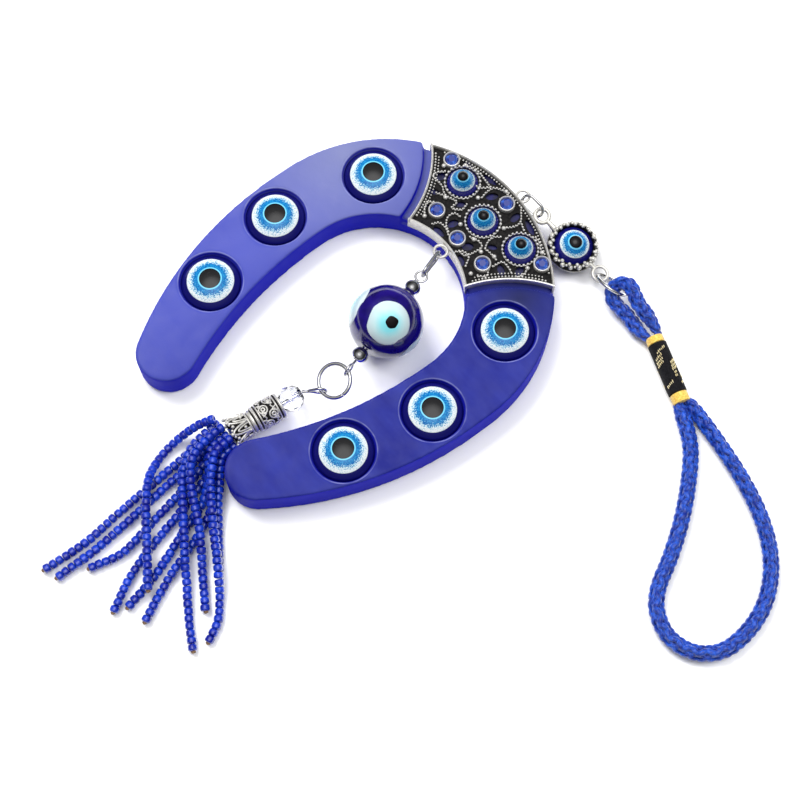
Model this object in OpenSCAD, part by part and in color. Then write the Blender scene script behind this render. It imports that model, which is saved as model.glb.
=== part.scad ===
// Evil eye horseshoe ornament, lying on its back.
// Millimetres, +Z up. The origin is on the back face of the glass, at the middle of the
// crown's width. The crown points to +Y, the two tips to -Y and the hanging cord to +X.

/* [Glass horseshoe] */
// Radius of the outer edge round the crown
outer_r = 41.3; // [40:0.1:43]
// Radius of the inner edge round the crown
inner_r = 22; // [21:0.1:22.6]
// Width of the glass at the middle of the crown
crown_w = 22.6; // [22:0.1:23.2]
// Thickness of the glass arms
glass_t = 8.5; // [8:0.1:9.5]
// Height of the seat under the crown plate
seat_z = 6.5; // [6:0.1:6.8]
// Radius of the rounded tip of each arm
tip_r = 7.6; // [7.4:0.1:7.8]

/* [Arm eyes] */
// Diameter of each large eye
eye_d = 14.4; // [13:0.1:15]
// Diameter of the round recess that an eye is glued into
recess_d = 15.6; // [15.2:0.1:16.2]
// Depth of the recess
recess_depth = 1.5; // [1:0.1:2]
// Height of a large eye from its glued face to the top of its dome
eye_h = 3.7; // [3:0.1:4.5]

/* [Crown plate] */
// Height of the plate's floor above the seat
plate_t = 1.2; // [1:0.1:1.5]
// Height of the plate's rim above the seat
rim_h = 2.1; // [1.6:0.1:2.4]
// Depth of the lip that wraps the edges of the glass, below the seat
lip_drop = 2; // [1:0.1:3]
// Diameter of the small eyes on the plate
plate_eye_d = 7.8; // [7.4:0.1:8]
// Diameter of the faceted stones
stone_d = 3.2; // [2.8:0.1:3.4]

/* [Charm] */
// Diameter of the charm's setting over its scalloped edge
charm_d = 13.5; // [13:0.1:13.8]
// Diameter of the charm's eye
charm_eye_d = 10; // [9.6:0.1:10.2]

/* [Drop chain] */
// Diameter of the lampwork bead
bead_d = 18.4; // [17.6:0.1:18.4]
// Length of the lampwork bead along its wire
bead_l = 17.6; // [17:0.1:17.6]
// Diameter of the two metal spacer beads
spacer_d = 4.1; // [3.8:0.1:4.2]
// Diameter of the round link ring, over the wire
link_ring_d = 9.3; // [9.2:0.1:9.4]
// Diameter of the clear faceted bead
crystal_d = 6.6; // [6:0.1:7]
// Diameter of the patterned tube bead
tube_d = 7.1; // [6.6:0.1:7.4]
// Diameter of the tassel cap's mouth
cap_d = 8.4; // [8:0.1:8.5]

/* [Cords and strands] */
// Diameter of the hanging cord
cord_d = 4; // [3.6:0.1:4]
// Diameter of a tassel strand of seed beads
strand_d = 2.1; // [2:0.1:2.2]

/* [Hidden] */
// ---- names ----
STRANDS = ["a", "b", "c", "d", "e", "f", "g", "h", "i", "j", "k"];
$fn = 48;

// The direction from one flat point to another
function toward(a, b) = (b - a) / norm(b - a);

// ---- glass ----
outer_c = [0, crown_w / 2 - outer_r];
inner_c = [0, -crown_w / 2 - inner_r];
arm_y = -34;                    // where the crown's arcs run on into the arms
tip_c = [18.6, -82.2];
// The arms' long arcs run smoothly into the round tips
arm_in = outer_r - tip_c[0];
arm_out = inner_r - tip_c[0];
arm_drop = arm_y - tip_c[1];
arm_outer_r = (arm_in * arm_in + arm_drop * arm_drop - tip_r * tip_r) / (2 * (arm_in - tip_r));
arm_inner_r = (arm_out * arm_out + arm_drop * arm_drop - tip_r * tip_r) / (2 * (arm_out + tip_r));
// where each tip's circle takes over from the arms' arcs
tip_outside = tip_c + tip_r * toward([outer_r - arm_outer_r, arm_y], tip_c) + [0, 0.4];
tip_inside = tip_c - tip_r * toward([inner_r - arm_inner_r, arm_y], tip_c) + [0, 0.4];
shoulder_c = [42.1, -24];       // centre of the arcs at the ends of the plate
shoulder_r = 30;
plate_end_r = 32;
rebate_w = 0.7;                 // width of the step that holds the plate's lip
lip_w = 0.6;
seat_y = -20;                   // the seat is above this line
eyes_right = [[26.5, -14], [32, -40.3], [27.3, -63.2]];
eye_places = concat(
    [for (i = [2:-1:0]) [-eyes_right[i][0], eyes_right[i][1]]],
    eyes_right);

// ---- plate ----
plate_eye_places = [[-11.6, 2.8], [0, 0.2], [11.6, 2.8]];
stone_places = [[-18.1, 4.4], [-9.2, -7.2], [0, 7.7], [0, -7.9], [9.2, -7.2], [18.1, 4.4]];
hole_places = [[-17.2, -0.8], [-14.3, -6.2], [-5.9, 6.8], [-4.9, -4.9], [-12.6, 8.4],
               [-4.9, -8.6], [4.9, -8.6], [12.6, 8.4], [4.9, -4.9], [5.9, 6.8], [14.3, -6.2],
               [17.2, -0.8]];
eye_pocket = 0.5;
bezel_w = 0.5;
loop_z = seat_z + 0.9;
top_loop = [0.5, 12.6, loop_z];
top_loop_r = 1.6;
inner_loop = [0, -13.1, loop_z];
inner_loop_r = 1.65;
loop_wire = 0.4;

// ---- drop chain: places are found along the bead's own axis ----
bead_c = [7.4, -35.5, bead_d / 2];
pin_turn = -73;                 // heading of the bead's wire, from +X
pin_wire = 0.3;
pin_loop_r = 1.45;
pin_loop_at = -14.6;
low_loop_r = 1.6;
low_loop_at = 15.3;
spacer_at = bead_l / 2 + 0.15 + spacer_d / 2 - 0.15;
ring_wire = 0.4;
ring_half = 1.6;                // half width of the oval ring, to the middle of its wire
upper_pin_loop = along(bead_c, pin_turn, pin_loop_at);
lower_pin_loop = along(bead_c, pin_turn, low_loop_at);
drop_u = unit(upper_pin_loop - inner_loop);
drop_near = inner_loop + 0.7 * drop_u;
drop_far = upper_pin_loop - 0.6 * drop_u;

link_wire = 0.5;
link_r = link_ring_d / 2 - link_wire;
link_turn = -97;
link_tilt = 25;                 // the link ring slopes down to the tassel
link_near = lower_pin_loop + [0.08, -0.37, -0.2];
link_far = link_near + 2 * link_r * heading(link_turn, -link_tilt);
link_c = (link_near + link_far) / 2;

tassel_z = 4.6;
tassel_turn = -95;
tassel_start = [8.3, -61.6, tassel_z];
tassel_wire = 0.35;
tassel_loop_r = 1.5;
tassel_loop = link_far + [-0.14, -0.21, -0.15];
crystal_at = 3.2;
crystal_l = 5.6;
tube_at = 9.8;
tube_l = 7.4;
cap_at = 13.7;
cap_l = 6.8;
knot_at = 16.2;
knot_r = 1.5;

// ---- top chain ----
top_wire = 0.4;
top_half = 1.9;
top_roll = 55;                  // the oval ring leans over on its side
charm_turn = 7;
charm_tilt = 7.8;
charm_loop = [7, 13.7, 5.6];
charm_loop_r = 1.85;
charm_loop_wire = 0.55;
charm_c = charm_loop + 11 * heading(charm_turn, -charm_tilt);
low_eyelet = charm_c + 9.6 * heading(charm_turn, -charm_tilt);
low_eyelet_r = 1.9;
low_eyelet_wire = 0.45;
top_u = unit(charm_loop - top_loop);
top_near = top_loop + 0.3 * top_u;
top_far = charm_loop - 0.35 * top_u;
cord_ring_wire = 0.45;
cord_ring_r = 4.15;
cord_ring_roll = -50;
cord_ring_tilt = 15;
cord_ring_near = low_eyelet + [0.3, 0, 0];
cord_ring_far = cord_ring_near + 2 * cord_ring_r * heading(0, cord_ring_tilt);
cord_ring_c = (cord_ring_near + cord_ring_far) / 2;

// ---- cord: x, y, z and radius, doubled from the wrap round the ring and back ----
cord_r = cord_d / 2;
cord_slim = 1.15;               // each run is squeezed to this radius at a wrap
cord_top_route = [
    [48.8, 17, 3.1, cord_slim], [46.4, 17.4, 3.9, 1.6], [43.5, 17.5, 4.8, cord_r],
    [40, 17.5, 5.7, cord_r], [35.6, 18.4, 6.8, cord_r], [33.5, 17.8, 6.3, cord_r],
    [32.7, 16.2, 4.9, cord_r], [33.5, 14.6, 3.6, cord_r], [35.6, 14, 3.1, cord_r],
    [40, 14.5, 2.4, cord_r], [43.5, 14.2, 2.1, cord_r], [46, 14.3, 2.3, 1.6],
    [48.4, 14.7, 2.4, cord_slim]];
sleeve_turn = -18;
wrap_d = 4.6;
sleeve_d = 4.8;
wrap_upper_at = [48.3, 15.9, 2.5];
wrap_upper_l = 2;
sleeve_l = 13.6;
wrap_lower_l = 2.6;
cord_loop_route = [
    [65.4, 11.6, 2.4, cord_slim], [67.2, 11.9, 2.2, 1.7], [72, 11.5, 2, cord_r],
    [80, 10.7, 2, cord_r], [88.5, 9.4, 2, cord_r], [97, 7.2, 2, cord_r],
    [104.5, 3.8, 2, cord_r], [110.6, -1, 2, cord_r], [115, -7.2, 2, cord_r],
    [117.2, -14.5, 2, cord_r], [117, -21.6, 2, cord_r], [113.2, -27, 2, cord_r],
    [107, -29.2, 2, cord_r], [101, -27.6, 2, cord_r], [96.8, -23.6, 2, cord_r],
    [93, -16.8, 2, cord_r], [88.2, -9.4, 2, cord_r], [82.2, -2, 2, cord_r],
    [75.4, 4.6, 2, cord_r], [68.2, 8.4, 2, cord_r], [65.9, 9.1, 2.2, 1.7],
    [64.5, 9.5, 2.4, cord_slim]];

// ---- tassel strands: each leaves the cap's mouth and lies on the table or on others ----
strand_r = strand_d / 2;
strand_routes = [
    [[1.6, -83.4, 6.8], [0.1, -87, 4.9], [-0.8, -91, 2.4], [-0.6, -95.2, 1.2], [0.8, -99.4, 1.7],
     [3.2, -103, 3.3], [6.8, -106.2, 3.8], [11, -109.2, 3.7], [18, -113.6, 3.6], [25.2, -118.3, 3.5]],
    [[2.6, -82.8, 1.2], [3, -87, 1.2], [3.4, -92, 1.2], [4.5, -103, 1.2], [5.6, -114, 1.2],
     [6.8, -124, 1.2], [6.5, -134.6, 1.2]],
    [[4.4, -82.8, 2.8], [4.8, -87, 2.8], [5.9, -92, 1.3], [7.4, -104, 1.2], [8.8, -114, 1.2],
     [9.8, -124, 1.2], [9.9, -133.2, 1.2]],
    [[6.2, -82.8, 1.2], [6.6, -87, 1.2], [8.3, -92, 1.2], [10.7, -101, 1.2], [12.4, -109, 1.2],
     [14.2, -118.5, 1.2], [12.8, -126, 1.2]],
    [[8, -82.8, 2.8], [8.3, -87, 2.8], [10.8, -92, 1.3], [14.1, -101.5, 1.2], [16.8, -111, 1.2],
     [19.8, -119.6, 1.2], [24.2, -127.4, 1.2]],
    [[6.3, -82.8, 4.6], [6.6, -87, 4.7], [9.2, -89.6, 4.5], [12.2, -92, 3.5], [15.6, -96.6, 1.3],
     [18.4, -103.5, 1.2], [21.4, -110.5, 1.2], [24, -117.5, 1.2], [25.6, -124, 1.2]],
    [[9.6, -82.8, 1.2], [10.2, -87, 1.2], [15, -92, 1.2], [19.3, -97.5, 1.2], [22.4, -104, 1.2],
     [24.8, -110.7, 1.2], [27.7, -117, 1.2], [30.6, -122.8, 1.2]],
    [[2.6, -82.8, 4.4], [2.8, -87, 4.3], [4, -92, 3.7], [8.4, -97, 3.6], [15.6, -101.7, 3.7],
     [21, -105.2, 3.7], [25.4, -108, 3.3], [29.5, -110.6, 1.8], [36, -114.6, 1.2], [42.6, -118.1, 1.2]],
    [[4.4, -82.8, 5.9], [4.6, -87, 5.9], [6.4, -92.4, 6], [10.6, -95.9, 4.9], [15.5, -98.4, 3.8],
     [20.8, -100.7, 3.6], [25.6, -103.6, 2.6], [30, -106.4, 1.3], [36.7, -110.4, 1.2]],
    [[8, -82.8, 6.1], [8.5, -87, 6.4], [10.8, -89.6, 6.5], [13.4, -92, 5.9], [17.5, -94.8, 4.8],
     [23, -98.2, 3.7], [27.5, -100.6, 3.5], [32.3, -103.3, 3.4], [37.2, -106.6, 1.3],
     [41.2, -110, 1.2], [43.4, -113.8, 1.2]],
    [[9.6, -82.8, 4.4], [10.2, -86.8, 4.3], [14.6, -90.6, 3.6], [19.4, -94.4, 2.5],
     [23.6, -97.4, 1.3], [27.5, -100, 1.2], [31, -102.4, 1.2]]];

// ---- functions ----
function unit(v) = v / norm(v);
function heading(turn, lift) = [cos(lift) * cos(turn), cos(lift) * sin(turn), sin(lift)];
function along(from, turn, by) = from + by * heading(turn, 0);
function turn_of(v) = atan2(v[1], v[0]);
function lift_of(v) = atan2(v[2], norm([v[0], v[1]]));
function xyz(p) = [p[0], p[1], p[2]];
function radius_at(p, r) = len(p) > 3 ? p[3] : r;

// Direction of a route at point i, and the two directions across it
function tangent(route, i) =
    unit(xyz(route[min(i + 1, len(route) - 1)]) - xyz(route[max(i - 1, 0)]));
function side(t) = unit(cross([0, 0, 1], t));
function ring_points(route, i, r, sides) =
    let (t = tangent(route, i), a = side(t), b = cross(t, a), q = radius_at(route[i], r))
    [for (k = [0:sides - 1])
        xyz(route[i]) + q * (cos(360 * k / sides) * a + sin(360 * k / sides) * b)];

// ---- general shapes ----
// A round tube through a route's points
module swept_tube(route, r, sides = 8) {
    n = len(route);
    points = [for (i = [0:n - 1]) each ring_points(route, i, r, sides)];
    walls = [for (i = [0:n - 2], k = [0:sides - 1])
        [i * sides + k, (i + 1) * sides + k,
         (i + 1) * sides + (k + 1) % sides, i * sides + (k + 1) % sides]];
    caps = [[for (k = [0:sides - 1]) k], [for (k = [sides - 1:-1:0]) (n - 1) * sides + k]];
    polyhedron(points, concat(walls, caps), convexity = 10);
}

module wire_loop(r, wire) {
    rotate_extrude() translate([r, 0]) circle(wire);
}

// An oval ring lying in its own XY plane, from the origin to length along +X
module oval_ring(length, half, wire) {
    straight = length - 2 * half;
    translate([half, 0, 0]) rotate([0, 0, 90]) rotate_extrude(angle = 180)
        translate([half, 0]) circle(wire);
    translate([half + straight, 0, 0]) rotate([0, 0, -90]) rotate_extrude(angle = 180)
        translate([half, 0]) circle(wire);
    for (s = [-1, 1]) translate([half, s * half, 0]) rotate([0, 90, 0])
        cylinder(h = straight, r = wire);
}

// A wire from one point to another
module wire_between(a, b, wire) {
    translate(a) rotate([0, 90 - lift_of(b - a), turn_of(b - a)]) cylinder(h = norm(b - a), r = wire);
}

// A disc with a low wall and a domed top
module cabochon(d, wall, h) {
    rise = h - wall;
    ball = (d * d / 4 + rise * rise) / (2 * rise);
    rotate_extrude() intersection() {
        square([d / 2, h]);
        translate([0, h - ball]) circle(ball, $fn = 96);
    }
}

// Puts a shape on the bead's wire, with its own Z along the wire
module on_pin(at) { translate(along(bead_c, pin_turn, at)) rotate([0, 90, pin_turn]) children(); }
module on_tassel(at) {
    translate(along(tassel_start, tassel_turn, at)) rotate([0, 90, tassel_turn]) children();
}

// ---- glass horseshoe ----
module crown_band() {
    intersection() {
        difference() {
            translate(outer_c) circle(outer_r, $fn = 144);
            translate(inner_c) circle(inner_r, $fn = 96);
        }
        translate([-60, arm_y]) square([120, 80]);
    }
    for (s = [-1, 1]) translate([s * (inner_r + outer_r) / 2, (outer_c[1] + arm_y) / 2])
        square([outer_r - inner_r, outer_c[1] - arm_y + 0.2], center = true);
}

module arm_outline() {
    intersection() {
        difference() {
            translate([outer_r - arm_outer_r, arm_y]) circle(arm_outer_r, $fn = 180);
            translate([inner_r - arm_inner_r, arm_y]) circle(arm_inner_r, $fn = 180);
        }
        union() {
            polygon([[0, arm_y + 0.05], [60, arm_y + 0.05], [60, tip_outside[1]],
                tip_outside, tip_inside, [0, tip_inside[1]]]);
            translate(tip_c) circle(tip_r, $fn = 72);
        }
    }
}

module plate_span(end_r) {
    difference() {
        translate([-30, seat_y]) square([60, 40]);
        for (s = [-1, 1]) translate([s * shoulder_c[0], shoulder_c[1]]) circle(end_r, $fn = 120);
    }
}

module horseshoe_body() {
    color([0.12, 0.13, 0.62]) difference() {
        linear_extrude(glass_t) {
            crown_band();
            arm_outline();
            mirror([1, 0]) arm_outline();
        }
        translate([0, 0, seat_z]) linear_extrude(10) plate_span(shoulder_r);
        translate([0, 0, seat_z - lip_drop]) linear_extrude(10) intersection() {
            plate_span(shoulder_r);
            union() {
                difference() {
                    translate(outer_c) circle(outer_r + 5, $fn = 144);
                    translate(outer_c) circle(outer_r - rebate_w, $fn = 144);
                }
                translate(inner_c) circle(inner_r + rebate_w, $fn = 96);
            }
        }
        for (p = eye_places) translate([p[0], p[1], glass_t - recess_depth])
            cylinder(h = 5, d = recess_d);
    }
}

// ---- arm eyes, from the left tip round to the right tip ----
module arm_eye(i) {
    p = eye_places[i];
    color([0.15, 0.5, 0.8]) translate([p[0], p[1], glass_t - recess_depth])
        cabochon(eye_d, 0.7, eye_h);
}

// ---- crown plate ----
module plate_band(outer_trim, inner_trim, end_r) {
    intersection() {
        difference() {
            translate(outer_c) circle(outer_r - outer_trim, $fn = 144);
            translate(inner_c) circle(inner_r + inner_trim, $fn = 96);
        }
        plate_span(end_r);
    }
}

module crown_plate() {
    color([0.62, 0.6, 0.56]) {
        difference() {
            union() {
                translate([0, 0, seat_z]) linear_extrude(plate_t) plate_band(0, 0, plate_end_r);
                translate([0, 0, seat_z]) linear_extrude(rim_h) difference() {
                    plate_band(0, 0, plate_end_r);
                    plate_band(lip_w, lip_w, plate_end_r + lip_w);
                }
                translate([0, 0, seat_z - lip_drop]) linear_extrude(lip_drop) difference() {
                    plate_band(0, 0, plate_end_r);
                    plate_band(lip_w, lip_w, plate_end_r - 1);
                }
                for (p = plate_eye_places) translate([p[0], p[1], seat_z])
                    cylinder(h = rim_h, d = plate_eye_d + 0.2 + 2 * bezel_w);
                for (p = stone_places) translate([p[0], p[1], seat_z])
                    cylinder(h = rim_h, d = stone_d + 0.2 + 2 * bezel_w);
            }
            for (p = plate_eye_places) translate([p[0], p[1], seat_z + eye_pocket])
                cylinder(h = 5, d = plate_eye_d + 0.2);
            for (p = stone_places) translate([p[0], p[1], seat_z + plate_t])
                cylinder(h = 5, d = stone_d + 0.2);
            for (p = hole_places) translate([p[0], p[1], seat_z - 1])
                cylinder(h = 5, d = 2.4);
        }
        translate(top_loop) wire_loop(top_loop_r, loop_wire);
        translate(inner_loop) wire_loop(inner_loop_r, loop_wire);
    }
}

module plate_eye(i) {
    p = plate_eye_places[i];
    dome = 4;
    steps = 9;
    r = plate_eye_d / 2;
    profile = concat([[0, 0], [r, 0]],
        [for (k = [0:steps]) [r * cos(90 * k / steps), 0.6 + dome * sin(90 * k / steps)]]);
    color([0.55, 0.8, 0.9]) translate([p[0], p[1], seat_z + eye_pocket])
        rotate_extrude() polygon(profile);
}

module crown_stone(i) {
    p = stone_places[i];
    color([0.1, 0.25, 0.8]) translate([p[0], p[1], seat_z + plate_t]) {
        cylinder(h = 0.5, d = stone_d);
        translate([0, 0, 0.5]) cylinder(h = 0.6, d1 = stone_d, d2 = stone_d * 0.6);
    }
}

// ---- top chain ----
module top_link_ring() {
    color([0.75, 0.75, 0.75]) translate(top_near)
        rotate([0, -lift_of(top_u), turn_of(top_u)]) rotate([top_roll, 0, 0])
            oval_ring(norm(top_far - top_near), top_half, top_wire);
}

module in_charm() {
    translate(charm_c) rotate([0, charm_tilt, charm_turn]) children();
}

module charm_setting() {
    scallops = 16;
    color([0.66, 0.64, 0.6]) in_charm() {
        difference() {
            union() {
                translate([0, 0, -0.9]) cylinder(h = 1.6, d = charm_d - 1.2);
                cylinder(h = 1.9, d = charm_eye_d + 1.1);
                for (k = [0:scallops - 1]) rotate([0, 0, 360 * (k + 0.5) / scallops])
                    translate([charm_d / 2 - 0.9, 0, 0.2]) sphere(0.9, $fn = 24);
            }
            translate([0, 0, -0.1]) cylinder(h = 10, d = charm_eye_d + 0.2);
        }
        translate([-11, 0, 0]) wire_loop(charm_loop_r, charm_loop_wire);
        translate([-8.9, 0, 0]) rotate([0, 90, 0]) cylinder(h = 3, r1 = 0.7, r2 = 0.9);
        translate([9.6, 0, 0]) wire_loop(low_eyelet_r, low_eyelet_wire);
        translate([6, 0, 0]) rotate([0, 90, 0]) cylinder(h = 1.7, r = 0.8);
    }
}

module charm_eye() {
    color([0.55, 0.8, 0.9]) in_charm() translate([0, 0, -0.1]) cabochon(charm_eye_d, 0.9, 4.3);
}

module cord_ring() {
    color([0.78, 0.78, 0.78]) translate(cord_ring_c)
        rotate([0, -cord_ring_tilt, 0]) rotate([cord_ring_roll, 0, 0])
            wire_loop(cord_ring_r, cord_ring_wire);
}

// ---- hanging cord ----
module hanging_cord_top() { color([0.1, 0.3, 0.85]) swept_tube(cord_top_route, cord_r); }
module hanging_cord_loop() { color([0.1, 0.3, 0.85]) swept_tube(cord_loop_route, cord_r); }

module on_sleeve(at) {
    translate(along(wrap_upper_at, sleeve_turn, at)) rotate([0, 90, sleeve_turn]) children();
}
module cord_wrap_upper() {
    color([0.95, 0.8, 0.2]) on_sleeve(0) cylinder(h = wrap_upper_l, d = wrap_d);
}
module cord_sleeve() {
    color([0.05, 0.05, 0.06]) on_sleeve(wrap_upper_l) cylinder(h = sleeve_l, d = sleeve_d);
}
module cord_wrap_lower() {
    color([0.95, 0.8, 0.2]) on_sleeve(wrap_upper_l + sleeve_l)
        cylinder(h = wrap_lower_l, d = wrap_d);
}

// ---- drop chain ----
module drop_ring() {
    color([0.78, 0.78, 0.78]) translate(drop_near)
        rotate([0, -lift_of(drop_u), turn_of(drop_u)]) rotate([90, 0, 0])
            oval_ring(norm(drop_far - drop_near), ring_half, ring_wire);
}

module drop_pin() {
    color([0.78, 0.78, 0.78]) {
        translate(upper_pin_loop) wire_loop(pin_loop_r, pin_wire);
        on_pin(pin_loop_at + pin_loop_r) cylinder(
            h = low_loop_at - low_loop_r - pin_loop_at - pin_loop_r, r = pin_wire);
        translate(lower_pin_loop) rotate([90, 0, pin_turn]) wire_loop(low_loop_r, pin_wire);
    }
}

module spacer(at) {
    on_pin(at) difference() {
        intersection() {
            sphere(d = spacer_d);
            cylinder(h = spacer_d - 0.3, d = spacer_d + 1, center = true);
        }
        cylinder(h = 10, r = pin_wire + 0.15, center = true);
    }
}
module spacer_upper() { color([0.8, 0.8, 0.8]) spacer(-spacer_at); }
module spacer_lower() { color([0.8, 0.8, 0.8]) spacer(spacer_at); }

module lampwork_bead() {
    color([0.06, 0.05, 0.45]) on_pin(0) difference() {
        intersection() {
            sphere(d = bead_d, $fn = 72);
            cylinder(h = bead_l, d = bead_d + 1, center = true);
        }
        cylinder(h = 30, r = 0.8, center = true);
    }
}

module link_ring() {
    color([0.78, 0.78, 0.78]) translate(link_c) rotate([0, link_tilt, link_turn])
        wire_loop(link_r, link_wire);
}

// ---- tassel ----
module tassel_pin() {
    neck = unit(tassel_start - tassel_loop);
    color([0.78, 0.78, 0.78]) {
        translate(tassel_loop) rotate([90, 0, turn_of(neck)]) wire_loop(tassel_loop_r, tassel_wire);
        wire_between(tassel_loop + tassel_loop_r * neck, tassel_start, 0.9 * tassel_wire);
        translate(tassel_start) sphere(1.3 * tassel_wire, $fn = 24);
        on_tassel(0) cylinder(h = knot_at, r = tassel_wire);
    }
}

module crystal_bead() {
    facet_l = crystal_l * 0.36;
    color([0.9, 0.93, 0.97]) on_tassel(crystal_at) difference() {
        union() {
            for (s = [0, 1]) mirror([0, 0, s]) {
                cylinder(h = crystal_l / 2 - facet_l, d = crystal_d);
                translate([0, 0, crystal_l / 2 - facet_l])
                    cylinder(h = facet_l, d1 = crystal_d, d2 = crystal_d * 0.5);
            }
        }
        cylinder(h = 20, r = tassel_wire + 0.15, center = true);
    }
}

module tube_bead() {
    band = 1;
    color([0.6, 0.58, 0.54]) on_tassel(tube_at) difference() {
        union() {
            cylinder(h = tube_l, d = tube_d - 0.6, center = true);
            for (s = [-1, 1]) translate([0, 0, s * (tube_l - band) / 2])
                cylinder(h = band, d = tube_d - 0.2, center = true);
            cylinder(h = tube_l - 2 * band - 0.8, d = tube_d, center = true);
        }
        cylinder(h = 20, r = tassel_wire + 0.15, center = true);
    }
}

module tassel_cap() {
    neck_r = 2.9;
    wall = 0.6;
    color([0.66, 0.64, 0.6]) on_tassel(cap_at) difference() {
        union() {
            cylinder(h = 1.2, r = neck_r + 0.3);
            translate([0, 0, 1]) cylinder(h = cap_l - 1, r1 = neck_r, r2 = cap_d / 2);
        }
        translate([0, 0, 1]) cylinder(h = cap_l - 0.99, r1 = neck_r - wall, r2 = cap_d / 2 - wall);
        cylinder(h = 30, r = tassel_wire + 0.15, center = true);
    }
}

module tassel_knot() {
    color([0.1, 0.2, 0.6]) on_tassel(knot_at + knot_r) sphere(knot_r, $fn = 32);
}

module tassel_strand(i) { color([0.1, 0.2, 0.85]) swept_tube(strand_routes[i], strand_r); }

horseshoe_body();
for (i = [0:5]) arm_eye(i);
crown_plate();
for (i = [0:2]) plate_eye(i);
for (i = [0:5]) crown_stone(i);
top_link_ring();
charm_setting();
charm_eye();
cord_ring();
hanging_cord_top();
hanging_cord_loop();
cord_wrap_upper();
cord_sleeve();
cord_wrap_lower();
drop_ring();
drop_pin();
spacer_upper();
lampwork_bead();
spacer_lower();
link_ring();
tassel_pin();
crystal_bead();
tube_bead();
tassel_cap();
tassel_knot();
for (i = [0:len(STRANDS) - 1])
    tassel_strand(i);
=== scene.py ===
"""Looks of the evil eye horseshoe ornament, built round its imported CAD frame."""

import math
import random

import bpy
import numpy as np
from mathutils import Matrix, Vector, noise
from mathutils.geometry import delaunay_2d_cdt


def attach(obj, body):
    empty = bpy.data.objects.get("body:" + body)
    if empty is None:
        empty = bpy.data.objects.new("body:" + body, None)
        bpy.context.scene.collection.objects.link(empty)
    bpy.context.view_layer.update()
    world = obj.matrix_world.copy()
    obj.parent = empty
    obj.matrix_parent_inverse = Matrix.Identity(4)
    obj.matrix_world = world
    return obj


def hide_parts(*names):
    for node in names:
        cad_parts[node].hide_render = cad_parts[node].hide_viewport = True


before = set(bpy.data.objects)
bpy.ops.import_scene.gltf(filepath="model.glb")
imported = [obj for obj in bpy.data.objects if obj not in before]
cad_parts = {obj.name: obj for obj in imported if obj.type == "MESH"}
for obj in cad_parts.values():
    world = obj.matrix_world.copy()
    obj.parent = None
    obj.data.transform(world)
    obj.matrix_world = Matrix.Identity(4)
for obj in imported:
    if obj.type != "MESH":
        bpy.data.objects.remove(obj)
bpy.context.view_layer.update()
MM = 0.001
SEED = 7
rng = random.Random(SEED)

# ------------------------------------------------------------------ places, in millimetres
OUTER_C, OUTER_R = (0.0, -30.0), 41.3
INNER_C, INNER_R = (0.0, -33.3), 22.0
SHOULDER_C, PLATE_END_R = (42.1, -24.0), 32.0
ARM_EYES = [(-27.3, -63.2), (-32, -40.3), (-26.5, -14), (26.5, -14), (32, -40.3), (27.3, -63.2)]
PLATE_EYES = [(-11.6, 2.8), (0, 0.2), (11.6, 2.8)]
STONES = [(-18.1, 4.4), (-9.2, -7.2), (0, 7.7), (0, -7.9), (9.2, -7.2), (18.1, 4.4)]
BEAD_C = np.array([7.4, -35.5, 9.2])
TASSEL_START = np.array([8.3, -61.6, 4.6])


def heading(turn, lift=0.0):
    t, l = math.radians(turn), math.radians(lift)
    return np.array([math.cos(l) * math.cos(t), math.cos(l) * math.sin(t), math.sin(l)])


def unit(v):
    v = np.asarray(v, float)
    return v / np.linalg.norm(v)


PIN_U = heading(-73)
TASSEL_U = heading(-95)
TOP_LOOP = np.array([0.5, 12.6, 7.4])
INNER_LOOP = np.array([0, -13.1, 7.4])
UPPER_PIN_LOOP = BEAD_C - 14.6 * PIN_U
LOWER_PIN_LOOP = BEAD_C + 15.3 * PIN_U
DROP_U = unit(UPPER_PIN_LOOP - INNER_LOOP)
DROP_NEAR = INNER_LOOP + 0.7 * DROP_U
DROP_FAR = UPPER_PIN_LOOP - 0.6 * DROP_U
LINK_NEAR = LOWER_PIN_LOOP + [0.08, -0.37, -0.2]
LINK_FAR = LINK_NEAR + 8.3 * heading(-97, -25)
LINK_C = (LINK_NEAR + LINK_FAR) / 2
TASSEL_LOOP = LINK_FAR + [-0.14, -0.21, -0.15]
CHARM_LOOP = np.array([7, 13.7, 5.6])
CHARM_U = heading(7, -7.8)
CHARM_C = CHARM_LOOP + 11 * CHARM_U
LOW_EYELET = CHARM_C + 9.6 * CHARM_U
TOP_U = unit(CHARM_LOOP - TOP_LOOP)
TOP_NEAR = TOP_LOOP + 0.3 * TOP_U
TOP_FAR = CHARM_LOOP - 0.35 * TOP_U
CORD_RING_NEAR = LOW_EYELET + [0.3, 0, 0]
CORD_RING_C = CORD_RING_NEAR + 4.15 * heading(0, 15)

# ------------------------------------------------------------------ mesh building


def rot(x=0, y=0, z=0):
    """X first, then Y, then Z, in degrees, as OpenSCAD turns things."""
    m = Matrix.Rotation(math.radians(z), 3, "Z") @ Matrix.Rotation(math.radians(y), 3, "Y")
    return np.array(m @ Matrix.Rotation(math.radians(x), 3, "X"))


def place(part, matrix=None, at=(0, 0, 0)):
    v, f = part
    v = np.asarray(v, float)
    if matrix is not None:
        v = v @ matrix.T
    return v + np.asarray(at, float), f


def join(parts):
    verts, faces, n = [], [], 0
    for v, f in parts:
        verts.append(np.asarray(v, float))
        faces += [tuple(i + n for i in face) for face in f]
        n += len(v)
    return np.concatenate(verts), faces


def polar(radius, angle, z=0.0):
    """A point that far out from Z at that angle in radians."""
    return radius * math.cos(angle), radius * math.sin(angle), z


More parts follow.
